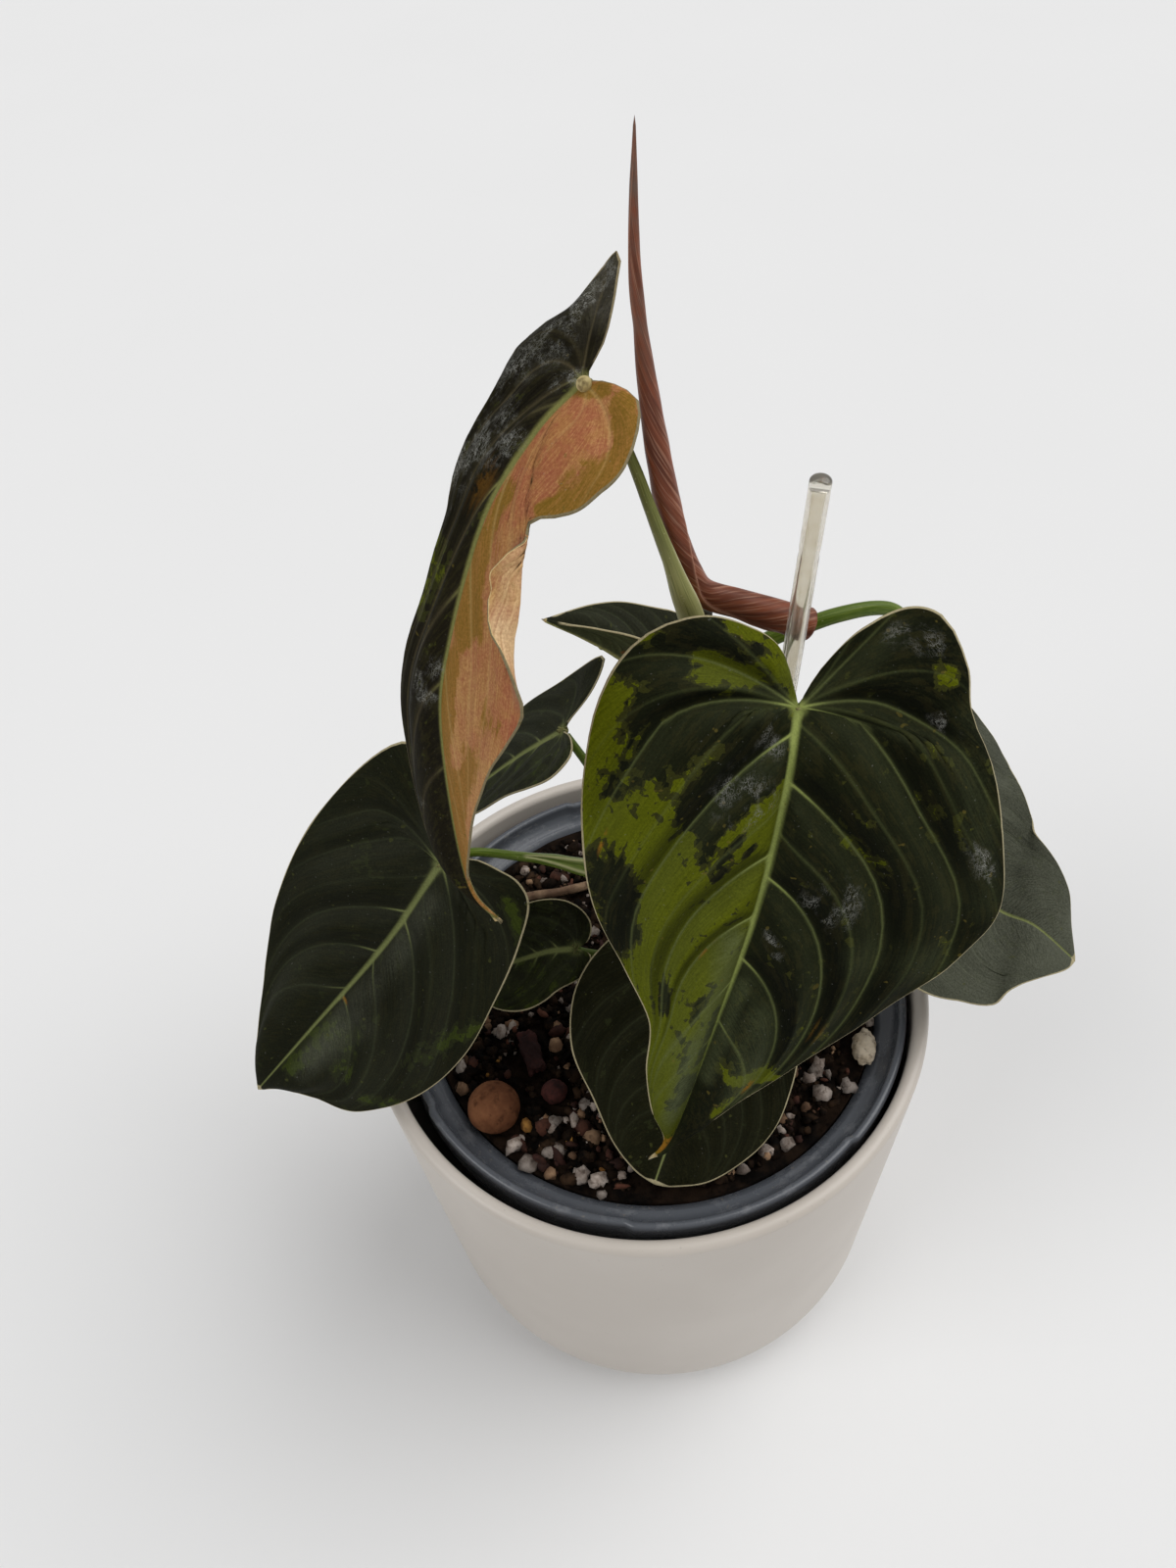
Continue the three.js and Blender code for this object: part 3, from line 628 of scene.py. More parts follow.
@dataclass(frozen=True)
class BladeFinish(Finish):
    """Velvety blade: greens in ragged patches, a blushed palette, pale veins, cream rim, dust and rust, under
    painted sheen and painted light and shade on the slopes of its hills.
    """

    deep: Colour = (0.0085, 0.009, 0.0035)
    cloud: Colour = (0.014, 0.0165, 0.006)
    middle: Colour = (0.03, 0.031, 0.006)
    light: Colour = (0.053, 0.06, 0.0008)
    lit: Colour = (0.085, 0.1, 0.006)
    # Colour of the painted sheen.
    sheen_bloom: Colour = (0.085, 0.095, 0.068)
    vein: Colour = (0.085, 0.1, 0.05)
    rib: Colour = (0.15, 0.19, 0.045)
    rim: Colour = (0.38, 0.33, 0.2)
    dust: Colour = (0.26, 0.26, 0.235)
    rust: Colour = (0.25, 0.11, 0.012)
    blush: Colour = (0.36, 0.155, 0.055)
    blush_deep: Colour = (0.33, 0.105, 0.05)
    gold: Colour = (0.2, 0.115, 0.014)
    blush_vein: Colour = (0.5, 0.33, 0.13)
    specks: Colour = (0.13, 0.1, 0.02)
    olive: Colour = (0.024, 0.021, 0.006)
    olive_share: float = 0.2
    # How much painted sheen lies beside the veins.
    vein_sheen_share: float = 0.1
    coarse: float = 0.42
    fine: float = 0.6
    tiles: float = 0.22
    # How much painted light falls on the side of each hill that faces up.
    slope_shading: float = 0.07
    # How much painted shade falls on the side of each hill that faces down.
    hollow: float = 0.22
    vein_gain: float = 0.8
    roughness: float = 0.6
    sheen: float = 0.01
    gloss: float = 0.035

    def _greens(self, graph: Graph, patches: Outputs, streaks: Socket) -> Socket:
        """Dark, olive, middle and light green, the dark and the light broken by streaks.

        Args:
            graph: The material's graph.
            patches: Outputs of the ragged patches.
            streaks: Tone of the nap.

        Returns:
            The colour.
        """
        light = graph.blend(graph.step(streaks, 0.45, 1.0), self.light, self.lit)
        dark = graph.blend(graph.step(streaks, 0.5, 0.95), self.deep, self.cloud)
        dark = graph.blend(graph.times(patches["Olive"], self.olive_share), dark, self.olive)
        body = graph.blend(patches["Middle"], dark, self.middle)
        return graph.blend(patches["Light"], body, light)

    def _blushed(self, graph: Graph, patches: Outputs, streaks: Socket) -> Socket:
        """Peach and pink clouds with pale lines along the veins, and gold where the patches are dark.

        Args:
            graph: The material's graph.
            patches: Outputs of the ragged patches.
            streaks: Tone of the nap.

        Returns:
            The colour.
        """
        pink = graph.blend(graph.step(patches["Shade"], 0.36, 0.62), self.blush, self.blush_deep)
        pink = graph.blend(graph.times(graph.step(streaks, 0.62, 1.0), 0.6), pink, self.blush_vein)
        gold = graph.blend(graph.step(streaks, 0.55, 1.25), self.gold, self.blush)
        return graph.blend(graph.step(patches["Level"], 0.28, 0.56), gold, pink)

    def _sheen_bloomed(self, graph: Graph, body: Socket, blush: Socket, streaks: Socket) -> Socket:
        """Painted sheen in patches and beside the veins, painted light on the side of each hill that faces
        up, and painted shade on the side that faces down.

        Args:
            graph: The material's graph.
            body: The colour so far.
            blush: How blushed the place is.
            streaks: Tone of the nap.

        Returns:
            The colour.
        """
        # Painted sheen beside the veins, left out where the blade is blushed.
        soft = graph.times(graph.mask("vein_sheen"), graph.minus(1.0, blush))
        # Painted sheen in the stroked patches, broken by the nap, plus the sheen beside the veins.
        haze = graph.times(graph.mask("sheen_bloom"), graph.step(streaks, 0.35, 0.95))
        haze = graph.plus(haze, graph.times(soft, self.vein_sheen_share), clamp=True)
        # Painted light on the side of each hill that faces up, in the sheen colour, and painted shade on the
        # side that faces down.
        slope_shading = graph.mask("slope_shading")
        slope_light = graph.times(graph.value("MAXIMUM", slope_shading, 0.0), self.slope_shading)
        body = graph.blend(graph.plus(haze, slope_light, clamp=True), body, self.sheen_bloom)
        slope_shade = graph.times(graph.value("MINIMUM", slope_shading, 0.0), self.hollow)
        return graph.dim(body, graph.plus(1.0, slope_shade))

    def _marked(self, graph: Graph, body: Socket, blush: Socket, patches: Outputs) -> Socket:
        """Side veins, rib, rim, rust and specks, one over the other.

        Args:
            graph: The material's graph.
            body: The colour so far.
            blush: How blushed the place is.
            patches: Outputs of the ragged patches.

        Returns:
            The colour.
        """
        veins = graph.blend(blush, self.vein, self.blush_vein)
        body = graph.blend(graph.times(graph.mask("vein"), self.vein_gain, clamp=True), body, veins)
        body = graph.blend(graph.step(graph.mask("rib"), 0.1, 0.9), body, self.rib)
        body = graph.blend(graph.step(graph.mask("rim"), 0.4, 0.75), body, self.rim)
        rust = graph.times(graph.mask("rust"), graph.step(patches["Shade"], 0.4, 0.5))
        body = graph.blend(rust, body, self.rust)
        return graph.blend(graph.times(patches["Specks"], 0.45), body, self.specks)

    def _wired(self, graph: Graph, effects: Effects) -> dict:
        """Blade: greens and blush under painted sheen and painted slope light and shade, then marks and dust.

        Args:
            graph: The material's graph.
            effects: Shared node groups.

        Returns:
            Inputs of the shader by name.
        """
        place, along = graph.place(), graph.along()
        patches = graph.group(
            effects.mottle, Vector=place, Along=along, Field=graph.mask("splash"),
            Coarse=self.coarse, Fine=self.fine, Tiles=self.tiles,
        )
        nap = graph.group(effects.nap, Place=place, Along=along)
        flecks = graph.group(effects.flecks, Vector=place, Along=along, Where=graph.mask("dust"))["Mask"]
        streaks, blush = nap["Shade"], graph.mask("blush")
        body = self._greens(graph, patches, streaks)
        body = graph.blend(blush, body, self._blushed(graph, patches, streaks))
        body = self._sheen_bloomed(graph, body, blush, streaks)
        body = self._marked(graph, body, blush, patches)
        body = graph.blend(flecks, body, self.dust)
        rough = graph.plus(graph.times(streaks, 0.16), self.roughness - 0.12)
        return {
            # Painted shade in the low parts of the nap and painted light on its tops, from the same height as
            # the bump.
            "Base Color": graph.dim(body, graph.plus(graph.times(nap["Height"], 0.7), 0.42)),
            "Roughness": graph.value("MAXIMUM", rough, graph.times(flecks, 0.8)),
            "Normal": graph.bump(nap["Height"], 0.4, 0.12),
            "Sheen Weight": self.sheen,
            "Sheen Roughness": 0.4,
            "Sheen Tint": (0.7, 0.72, 0.62, 1),
            "Specular IOR Level": self.gloss,
        }


@dataclass(frozen=True)
class StalkFinish(Finish):
    """Waxy stalk: fine lengthwise lines, paler edges where a sheath opens, and small specks."""

    body: Colour
    line: Colour
    edge: Colour
    pale: Colour = (0.36, 0.35, 0.13)
    roughness: float = 0.42

    def _wired(self, graph: Graph, effects: Effects) -> dict:
        """Stalk: lines over clouds, then the sheath, its edges and specks.

        Args:
            graph: The material's graph.
            effects: Shared node groups; not used.

        Returns:
            Inputs of the shader by name.
        """
        place = graph.place()
        lines = graph.noise(graph.stretched(graph.along(), (26, 2.2, 1)), 1, 3, 0.65)
        clouds = graph.noise(place, 110, 4, 0.6)
        colour = graph.blend(graph.step(lines, 0.42, 0.66), self.body, self.line)
        colour = graph.blend(graph.times(graph.step(clouds, 0.45, 0.7), 0.5), colour, self.line)
        sheath = graph.times(graph.mask("pale"), graph.step(lines, 0.1, 0.6))
        colour = graph.blend(sheath, colour, self.pale)
        colour = graph.blend(graph.mask("edge"), colour, self.edge)
        specks = graph.step(graph.noise(place, 1500, 1, 0.5), 0.7, 0.76)
        return {
            "Base Color": graph.blend(graph.times(specks, 0.4), colour, self.edge),
            "Roughness": graph.plus(graph.times(clouds, 0.2), self.roughness - 0.1),
            "Normal": graph.bump(lines, 0.4, 0.15),
            "Specular IOR Level": 0.25,
        }


@dataclass(frozen=True)
class GroundFinish(Finish):
    """Grain, crumb, stone or wood: broken colour over a rough relief.

    Scale is that of the relief, and spread is how far loose grains differ from each other in tone.
    """

    dark: Colour
    light: Colour
    scale: float = 500.0
    roughness: float = 0.85
    relief: float = 0.25
    gloss: float = 0.3
    spread: float = 0.0

    def _wired(self, graph: Graph, effects: Effects) -> dict:
        """Ground: two tones, painted shade in the pits of the relief and, on loose grains, a tone for each
        grain.

        Args:
            graph: The material's graph.
            effects: Shared node groups.

        Returns:
            Inputs of the shader by name.
        """
        place = graph.place()
        height = graph.group(effects.grain, Vector=place, Scale=self.scale)["Height"]
        tint = graph.noise(place, self.scale * 0.35, 4, 0.65)
        colour = graph.blend(graph.step(tint, 0.36, 0.66), self.dark, self.light)
        # Painted shade in the pits: the colour darkened where the relief is low.
        pit_shade = graph.blend(1.0, colour, (0.45, 0.42, 0.4), "MULTIPLY")
        colour = graph.blend(graph.step(height, 0.32, 0.5), pit_shade, colour)
        if self.spread:
            tone = graph.plus(graph.times(graph.mask("tone"), self.spread), 1 - self.spread / 2)
            colour = graph.dim(colour, tone)
        return {
            "Base Color": colour,
            "Roughness": graph.plus(graph.times(tint, 0.25), self.roughness - 0.12),
            "Normal": graph.bump(height, 0.7, self.relief),
            "Specular IOR Level": self.gloss,
        }


@dataclass(frozen=True)
class GlazeFinish(Finish):
    """Satin glaze: an even warm grey with slow clouds and faint speckles."""

    body: Colour
    cloud: Colour
    roughness: float = 0.36

    def _wired(self, graph: Graph, effects: Effects) -> dict:
        """Glaze: two close tones in clouds, with speckles.

        Args:
            graph: The material's graph.
            effects: Shared node groups.

        Returns:
            Inputs of the shader by name.
        """
        place = graph.place()
        grain = graph.group(effects.grain, Vector=place, Scale=1400)
        colour = graph.blend(graph.step(grain["Shade"], 0.35, 0.65), self.body, self.cloud)
        speckle = graph.step(graph.noise(place, 900, 1, 0.5), 0.74, 0.79)
        return {
            "Base Color": graph.blend(graph.times(speckle, 0.25), colour, (0.3, 0.27, 0.23)),
            "Roughness": graph.plus(graph.times(grain["Shade"], 0.16), self.roughness - 0.08),
            "Normal": graph.bump(grain["Height"], 0.12, 0.08),
        }


@dataclass(frozen=True)
class PlasticFinish(Finish):
    """Moulded dark plastic with scuffs and a little soil dust."""

    body: Colour
    scuff: Colour
    roughness: float = 0.3

    def _wired(self, graph: Graph, effects: Effects) -> dict:
        """Plastic: worn patches that are paler and rougher, and specks of soil.

        Args:
            graph: The material's graph.
            effects: Shared node groups.

        Returns:
            Inputs of the shader by name.
        """
        place = graph.place()
        height = graph.group(effects.grain, Vector=place, Scale=900)["Height"]
        worn = graph.step(graph.noise(graph.stretched(place, (1, 1, 3)), 150, 6, 0.72), 0.52, 0.72)
        colour = graph.blend(graph.times(worn, 0.55), self.body, self.scuff)
        specks = graph.step(graph.noise(place, 800, 1, 0.5), 0.72, 0.77)
        return {
            "Base Color": graph.blend(graph.times(specks, 0.5), colour, (0.2, 0.18, 0.15)),
            "Roughness": graph.plus(graph.times(worn, 0.3), self.roughness),
            "Normal": graph.bump(height, 0.25, 0.12),
        }


@dataclass(frozen=True)
class ClearFinish(Finish):
    """Clear smooth plastic with faint haze."""

    clear: Colour = (0.9, 0.87, 0.79)
    hazy: Colour = (0.82, 0.77, 0.66)

    def _wired(self, graph: Graph, effects: Effects) -> dict:
        """Clear plastic: light passes through, tinted a little.

        Args:
            graph: The material's graph.
            effects: Shared node groups.

        Returns:
            Inputs of the shader by name.
        """
        height = graph.group(effects.grain, Vector=graph.place(), Scale=260)["Height"]
        return {
            "Base Color": graph.blend(graph.step(height, 0.3, 0.7), self.clear, self.hazy),
            "Roughness": graph.times(height, 0.16),
            "Transmission Weight": 0.92,
            "IOR": 1.46,
        }


@dataclass(frozen=True)
class RollFinish(Finish):
    """Young leaf: red-brown with fine pale lines that wind down it, pale lip and lime inside."""

    body: Colour = (0.22, 0.06, 0.026)
    shade: Colour = (0.12, 0.032, 0.014)
    line: Colour = (0.46, 0.235, 0.15)
    tip: Colour = (0.15, 0.095, 0.07)
    lime: Colour = (0.12, 0.2, 0.02)

    def _wired(self, graph: Graph, effects: Effects) -> dict:
        """Young leaf: broad and fine lines, a greyer tip, the lip and the inside.

        Args:
            graph: The material's graph.
            effects: Shared node groups; not used.

        Returns:
            Inputs of the shader by name.
        """
        along = graph.along()
        fine = graph.noise(graph.stretched(along, (34, 1.6, 1)), 1, 3, 0.6)
        broad = graph.noise(graph.stretched(along, (9, 0.7, 1)), 1, 3, 0.6)
        clouds = graph.noise(graph.place(), 190, 4, 0.6)
        colour = graph.blend(graph.step(broad, 0.36, 0.62), self.shade, self.body)
        colour = graph.blend(graph.times(graph.step(fine, 0.5, 0.68), 0.6), colour, self.line)
        upper = graph.minus(1.0, graph.step(graph.mask("down"), 0.05, 0.5))
        colour = graph.blend(graph.times(upper, graph.step(clouds, 0.3, 0.7)), colour, self.tip)
        colour = graph.blend(graph.times(graph.mask("edge"), 0.7), colour, self.line)
        return {
            "Base Color": graph.blend(graph.mask("inside"), colour, self.lime),
            "Roughness": graph.plus(graph.times(clouds, 0.2), 0.32),
            "Normal": graph.bump(fine, 0.5, 0.2),
            "Specular IOR Level": 0.2,
        }


@dataclass(frozen=True)
class Dab:
    """Soft stroke on half a blade, from one flat place [across, along] to another, that adds to a mask."""

    start: Flat
    end: Flat
    width: float
    amount: float

    def value_at(self, across: Array, along: Array) -> Array:
        """Amount times exp(-(distance / (0.62 width))^4), with the distance to the stroke's line.

        Args:
            across: Distances from the midrib.
            along: Distances from the sinus.

        Returns:
            The values, in the shape of across.
        """
        ax, ay = self.start
        dx, dy = self.end[0] - ax, self.end[1] - ay
        share = ((across - ax) * dx + (along - ay) * dy) / (dx * dx + dy * dy + 1e-9)
        share = np.clip(share, 0, 1)
        distance = np.hypot(across - ax - share * dx, along - ay - share * dy)
        return self.amount * np.exp(-((distance / (0.62 * self.width)) ** 4))


@dataclass(frozen=True)
class Vein:
    """Side vein that leaves the midrib at a row of the blade."""

    row: float
    strength: float = 1.0


def strokes(*rows: tuple[float, ...]) -> tuple[Dab, ...]:
    """Strokes from rows of both places, width and amount."""
    return tuple(Dab(row[:2], row[2:4], row[4], row[5]) for row in rows)


def lay(*veins: Flat) -> tuple[Vein, ...]:
    """Side veins from pairs of a row and a strength."""
    return tuple(Vein(row, strength) for row, strength in veins)


EVEN_VEINS = lay(
    (0.09, 0.6), (0.19, 1), (0.25, 0.3), (0.31, 1), (0.43, 1), (0.54, 0.9), (0.65, 0.7), (0.75, 0.5)
)


@dataclass(frozen=True)
class Half:
    """One half of a blade: flat outline from the sinus to the tip, bends, side veins and strokes.

    Lists of numbers are spread evenly over the blade. The half rises by fold degrees at the midrib and by
    curl degrees more at its widest reach. Past the crease, in millimetres from the midrib, it turns by bend
    degrees. Rows leave the midrib later where late is above 0.
    """

    outline: list[Flat]
    fold: Numbers = (0.0,)
    curl: Numbers = (0.0,)
    crease: Numbers = (0.0,)
    bend: Numbers = (0.0,)
    late: Numbers = (0.0,)
    veins: Sequence[Vein] = EVEN_VEINS
    base: float = 0.1
    blush: float = 0.0
    lift: float = 1.0
    splash: Sequence[Dab] = ()
    dust: Sequence[Dab] = ()
    rust: Sequence[Dab] = ()
    # Strokes of painted sheen.
    haze: Sequence[Dab] = ()

    def painted(self, across: Array, along: Array) -> dict[str, Array]:
        """Sums of the strokes of each kind.

        Args:
            across: Distances from the midrib.
            along: Distances from the sinus.

        Returns:
            Values by kind, each in the shape of across.
        """
        kinds = {"splash": self.splash, "dust": self.dust, "rust": self.rust, "haze": self.haze}
        return {
            kind: sum((dab.value_at(across, along) for dab in dabs), np.zeros_like(across))
            for kind, dabs in kinds.items()
        }


@dataclass
class Blade:
    """Heart-shaped blade.

    The midrib is a smooth line from the sinus to the tip, and face is the way the upper side looks. A flat
    place [across, along] of a half bends up from the midrib by the fold angle, and on by the curl towards the
    margin. Rows run from the midrib to the margin as the side veins do.
    """

    node: str
    midrib: list[Point]
    face: Point
    left: Half
    right: Half
    slot: str = "leaf_green"
    # Painted sheen laid evenly over the whole blade.
    sheen_bloom: float = 0.01
    vein_share: float = 0.35
    rib_width: float = 1.5
    rib_fade: float = 0.0
    quilt: float = 0.9
    ripple: float = 0.35
    thickness: float = 0.5
    base_rows: int = 110
    seed: int = 1

    LOBE_SHARE = 0.34
    SWEEP = 3.6
    CREASE = 2.2
    SECTION_STEPS = 30
    STRONG_VEIN = 0.7
    VEIN_WIDTH = 0.34
    # Width of the bands of painted sheen beside the veins, in millimetres.
    VEIN_SHEEN_WIDTH = 2.1
    HILL_EDGE = 2.8
    RIM_WIDTH = 0.42
    RIPPLE_SIZE = 15
    WELD = 2e-3
    COLUMNS = (
        0, 0.012, 0.03, 0.055, 0.09, 0.14, 0.2, 0.27, 0.34, 0.41, 0.48, 0.55, 0.62, 0.68, 0.74, 0.8, 0.85,
        0.89, 0.925, 0.95, 0.97, 0.983, 0.993, 1,
    )
    NEAR_VEIN = (-0.006, -0.003, -0.0013, 0, 0.0013, 0.003, 0.006)
    CLEAR_OF_VEIN = 0.0075
    MASKS = ("vein", "vein_sheen", "sheen_bloom", "slope_shading", "rib", "rim", "splash", "dust", "rust", "blush")

    def __post_init__(self) -> None:
        """Lays the midrib and both margins."""
        self.line = SmoothLine(self.midrib)
        self.length = self.line.length
        self.halves = {"left": self.left, "right": self.right}
        self.margins = {
            name: SmoothLine([(0, 0), *half.outline, (0, self.length)]) for name, half in self.halves.items()
        }

    def _frame(self, along: Array) -> tuple[Array, Array, Array]:
        """Axes of the midrib.

        Args:
            along: Distances from the sinus.

        Returns:
            Places on the midrib, sideways axes and upper axes.
        """
        share = np.clip(along / self.length, 0, 1)
        tangent = self.line.tangent(share)
        side = unit(np.cross(np.asarray(self.face, float), tangent))
        upper = np.cross(tangent, side)
        return self.line.at(share) + tangent * np.minimum(along, 0)[..., None], side, upper

    def _bent(self, name: str, across: Array, along: Array) -> Array:
        """Points of a half: the section is summed over even steps from the midrib out.

        The angle is fold + curl * reach, and grows by the bend where the crease is crossed.

        Args:
            name: left or right.
            across: Flat distances from the midrib.
            along: Flat distances from the sinus.

        Returns:
            The points.
        """
        half = self.halves[name]
        origin, side, upper = self._frame(along)
        share = along / self.length
        fold, curl, crease, bend = (
            read_evenly(values, share)[..., None] for values in (half.fold, half.curl, half.crease, half.bend)
        )
        widest = max(x for x, _ in half.outline)
        parts = (np.arange(self.SECTION_STEPS) + 0.5) / self.SECTION_STEPS * across[..., None]
        past = ease(parts - crease, -self.CREASE, self.CREASE)
        angle = np.radians(fold + curl * (parts / widest) + bend * past)
        out = np.cos(angle).mean(-1) * across
        up = np.sin(angle).mean(-1) * across
        sign = 1 if name == "right" else -1
        return origin + side * (sign * out)[..., None] + upper * up[..., None]

    def _flat(self, name: str, row: Array, reach: Array) -> tuple[Array, Array]:
        """Flat places on a bowed line from the midrib (reach 0) to the margin (reach 1).

        The line is a quadratic curve, which leaves the midrib later where the half says so. Rows sweep
        towards the tip by 3.6 row^1.5 (1 - row)^2 times 0.4 reach + 0.6 reach^2, as side veins do.

        Args:
            name: left or right.
            row: Row of each place.
            reach: Reach of each place.

        Returns:
            Distances across and along.
        """
        swept = row + self.SWEEP * row**1.5 * (1 - row) ** 2 * (0.4 * reach + 0.6 * reach**2)
        margin = self.margins[name].at(swept)
        root = self.length * np.maximum((swept - self.LOBE_SHARE) / (1 - self.LOBE_SHARE), 0)
        late = read_evenly(self.halves[name].late, swept)
        across = (2 * reach * (1 - reach) * (0.6 - 0.45 * late) + reach**2) * margin[..., 0]
        bow = root + (0.3 + 0.45 * late) * (margin[..., 1] - root)
        along = (1 - reach) ** 2 * root + 2 * reach * (1 - reach) * bow + reach**2 * margin[..., 1]
        return across, along

    def _rows(self) -> Array:
        """Rows of the grid: even ones, with seven more on each vein so that it stays sharp.

        Returns:
            The rows, from 0 to 1.
        """
        even = np.linspace(0, 1, self.base_rows)
        veins = np.array([vein.row for half in self.halves.values() for vein in half.veins])
        near = (veins[:, None] + np.array(self.NEAR_VEIN)).reshape(-1)
        far = even[np.abs(even[:, None] - veins).min(1) > self.CLEAR_OF_VEIN]
        rows = np.unique(np.round(np.concatenate([[0, 1], far, near]), 5))
        return rows[(rows >= 0) & (rows <= 1)]

    def _vein_fields(
        self, half: Half, row: Array, reach: Array, spacing: Array
    ) -> tuple[Array, Array, Array]:
        """Side veins of a half.

        Args:
            half: The half.
            row: Row of each grid point.
            reach: Reach of each grid point.
            spacing: Millimetres to a whole row at each grid point.

        Returns:
            Lines of the veins, bands of painted sheen beside them, and distances to the nearest strong vein.
        """
        vein = np.zeros_like(row)
        vein_sheen = np.zeros_like(row)
        nearest = np.full_like(row, 9.0)
        for item in half.veins:
            distance = np.abs(row - item.row) * spacing
            fade = item.strength * (1 - 0.7 * reach**2)
            vein = np.maximum(vein, bell(distance, self.VEIN_WIDTH - 0.14 * reach) * fade)
            vein_sheen = np.maximum(vein_sheen, bell(distance, self.VEIN_SHEEN_WIDTH) * fade)
            if item.strength > self.STRONG_VEIN:
                nearest = np.minimum(nearest, distance)
        return vein, vein_sheen, nearest

    def _half_skin(self, name: str, rows: Array) -> dict[str, Array]:
        """Grid of one half with the values of its masks.

        Args:
            name: left or right.
            rows: Rows of the grid.

        Returns:
            Points and masks by name, each with one entry for each grid point.
        """
        half = self.halves[name]
        row, reach = np.meshgrid(rows, np.array(self.COLUMNS, float), indexing="ij")
        across, along = self._flat(name, row, reach)
        points = self._bent(name, across, along)
        by_row = np.gradient(points, rows, axis=0)
        by_reach = np.gradient(points, self.COLUMNS, axis=1)
        width = np.linalg.norm(by_reach, axis=-1)
        spacing = np.linalg.norm(np.cross(by_row, by_reach), axis=-1) / np.maximum(width, 1e-6)
        vein, vein_sheen, nearest = self._vein_fields(half, row, reach, spacing)
        painted = half.painted(across, along)

        share = np.clip(along / self.length, 0, 1)
        rib_width = self.rib_width * (1 - 0.72 * share)
        rib = bell(across, rib_width * 0.55) * (along > -0.5) * (1 - self.rib_fade * ease(share, 0.4, 0.8))
        star = np.maximum(bell(np.hypot(across, along), 1.7), vein * bell(reach, 0.16))
        rim = bell((1 - reach) * width, self.RIM_WIDTH) * ease(np.abs(across), 0.2, 2)
        tip = ease(along / self.length, 0.972, 0.99)

        valley = np.minimum(nearest, np.abs(across) + 0.4)
        hills = self.quilt * (1 - bell(valley, self.HILL_EDGE)) * (1 - reach**4)
        hills *= ease(np.hypot(across, along), 1, 9) * half.lift
        # Slope of the hills along the rows: painted light where the surface faces up towards the sinus,
        # painted shade where it faces down.
        slope_shading = np.gradient(hills, rows, axis=0) / np.maximum(spacing, 1e-3) * ease(spacing, 4, 12)
        x, y, z = np.moveaxis(points, -1, 0)
        wave = self.ripple * reach**2 * waves(x, y, z, self.RIPPLE_SIZE, self.seed)
        under = 0.75 * bell(across, rib_width * 0.7) * (along > -0.5) * (1 - 0.7 * share)
        return {
            "points": points,
            "hills": hills + wave,
            "groove": 0.22 * np.maximum(bell(across, rib_width * 0.8) * (along > 0), 0.6 * vein),
            "under": under + 0.3 * vein * (1 - reach),
            "vein": vein * (1 - 0.5 * rib) * self.vein_share,
            # Bands of painted sheen beside the veins and along the midrib.
            "vein_sheen": np.maximum(vein_sheen, bell(across, rib_width * 2.2) * (along > -1)),
            # Painted sheen: the half's sheen strokes plus the even share over the blade.
            "sheen_bloom": np.clip(painted["haze"] + self.sheen_bloom, 0, 1),
            "slope_shading": np.clip(1.6 * slope_shading, -1, 1),
            "rib": np.clip(np.maximum(rib, star * 0.8), 0, 1),
            "rim": np.maximum(rim, tip),
            "splash": painted["splash"] + half.base,
            "dust": np.clip(painted["dust"], 0, 1),
            "rust": np.clip(painted["rust"], 0, 1),
            "blush": half.blush * ease(np.abs(across), 0.1, 0.5),
            "u": row * 3.0,
            "v": reach * width.mean() / 50 + (1.5 if name == "right" else 0),
        }

    def _sheet(self) -> tuple[dict[str, Array], Array]:
        """Both halves as one sheet, welded at the midrib.

        Returns:
            Values of the points by name, and triangles.
        """
        rows = self._rows()
        halves = [self._half_skin(name, rows) for name in self.halves]
        values = {
            key: np.concatenate([half[key].reshape(-1, *half[key].shape[2:]) for half in halves])
            for key in halves[0]
        }
        quads = grid_faces(len(rows), len(self.COLUMNS))
        quads = np.concatenate([quads, quads[:, ::-1] + len(rows) * len(self.COLUMNS)])
        places = np.round(values["points"] / self.WELD)
        _, keep, joined = np.unique(places, axis=0, return_index=True, return_inverse=True)
        triangles = joined.reshape(-1)[np.concatenate([quads[:, [0, 1, 2]], quads[:, [0, 2, 3]]])]
        whole = (triangles != np.roll(triangles, 1, axis=1)).all(1)
        return {key: value[keep] for key, value in values.items()}, triangles[whole]

    @staticmethod
    def _normals(points: Array, triangles: Array) -> Array:
        """Point normals: the sum of the cross products of the triangles that meet at each point.

        Args:
            points: Points of the sheet.
            triangles: Its triangles.

        Returns:
            Unit normals.
        """
        a, b, c = (points[triangles[:, k]] for k in range(3))
        faces = np.cross(b - a, c - a)
        total = np.zeros_like(points)
        for k in range(3):
            np.add.at(total, triangles[:, k], faces)
        return unit(total)

    @staticmethod
    def _edge(points: Array, triangles: Array, normals: Array) -> tuple[Array, Array, Array]:
        """Open edge of the sheet.

        Args:
            points: Points of the sheet.
            triangles: Its triangles.
            normals: Its normals.

        Returns:
            Edges that only one triangle has, the points on them, and the way outwards at each of these.
        """
        count = len(points)
        edges = np.concatenate([triangles[:, [0, 1]], triangles[:, [1, 2]], triangles[:, [2, 0]]])
        codes = edges[:, 0] * count + edges[:, 1]
        edges = edges[~np.isin(codes, edges[:, 1] * count + edges[:, 0])]
        ring = np.unique(edges)
        first, second = edges.T
        sideways = unit(np.cross(points[second] - points[first], normals[first]))
        outward = np.zeros_like(points)
        np.add.at(outward, first, sideways)
        np.add.at(outward, second, sideways)
        return edges, ring, unit(outward[ring])

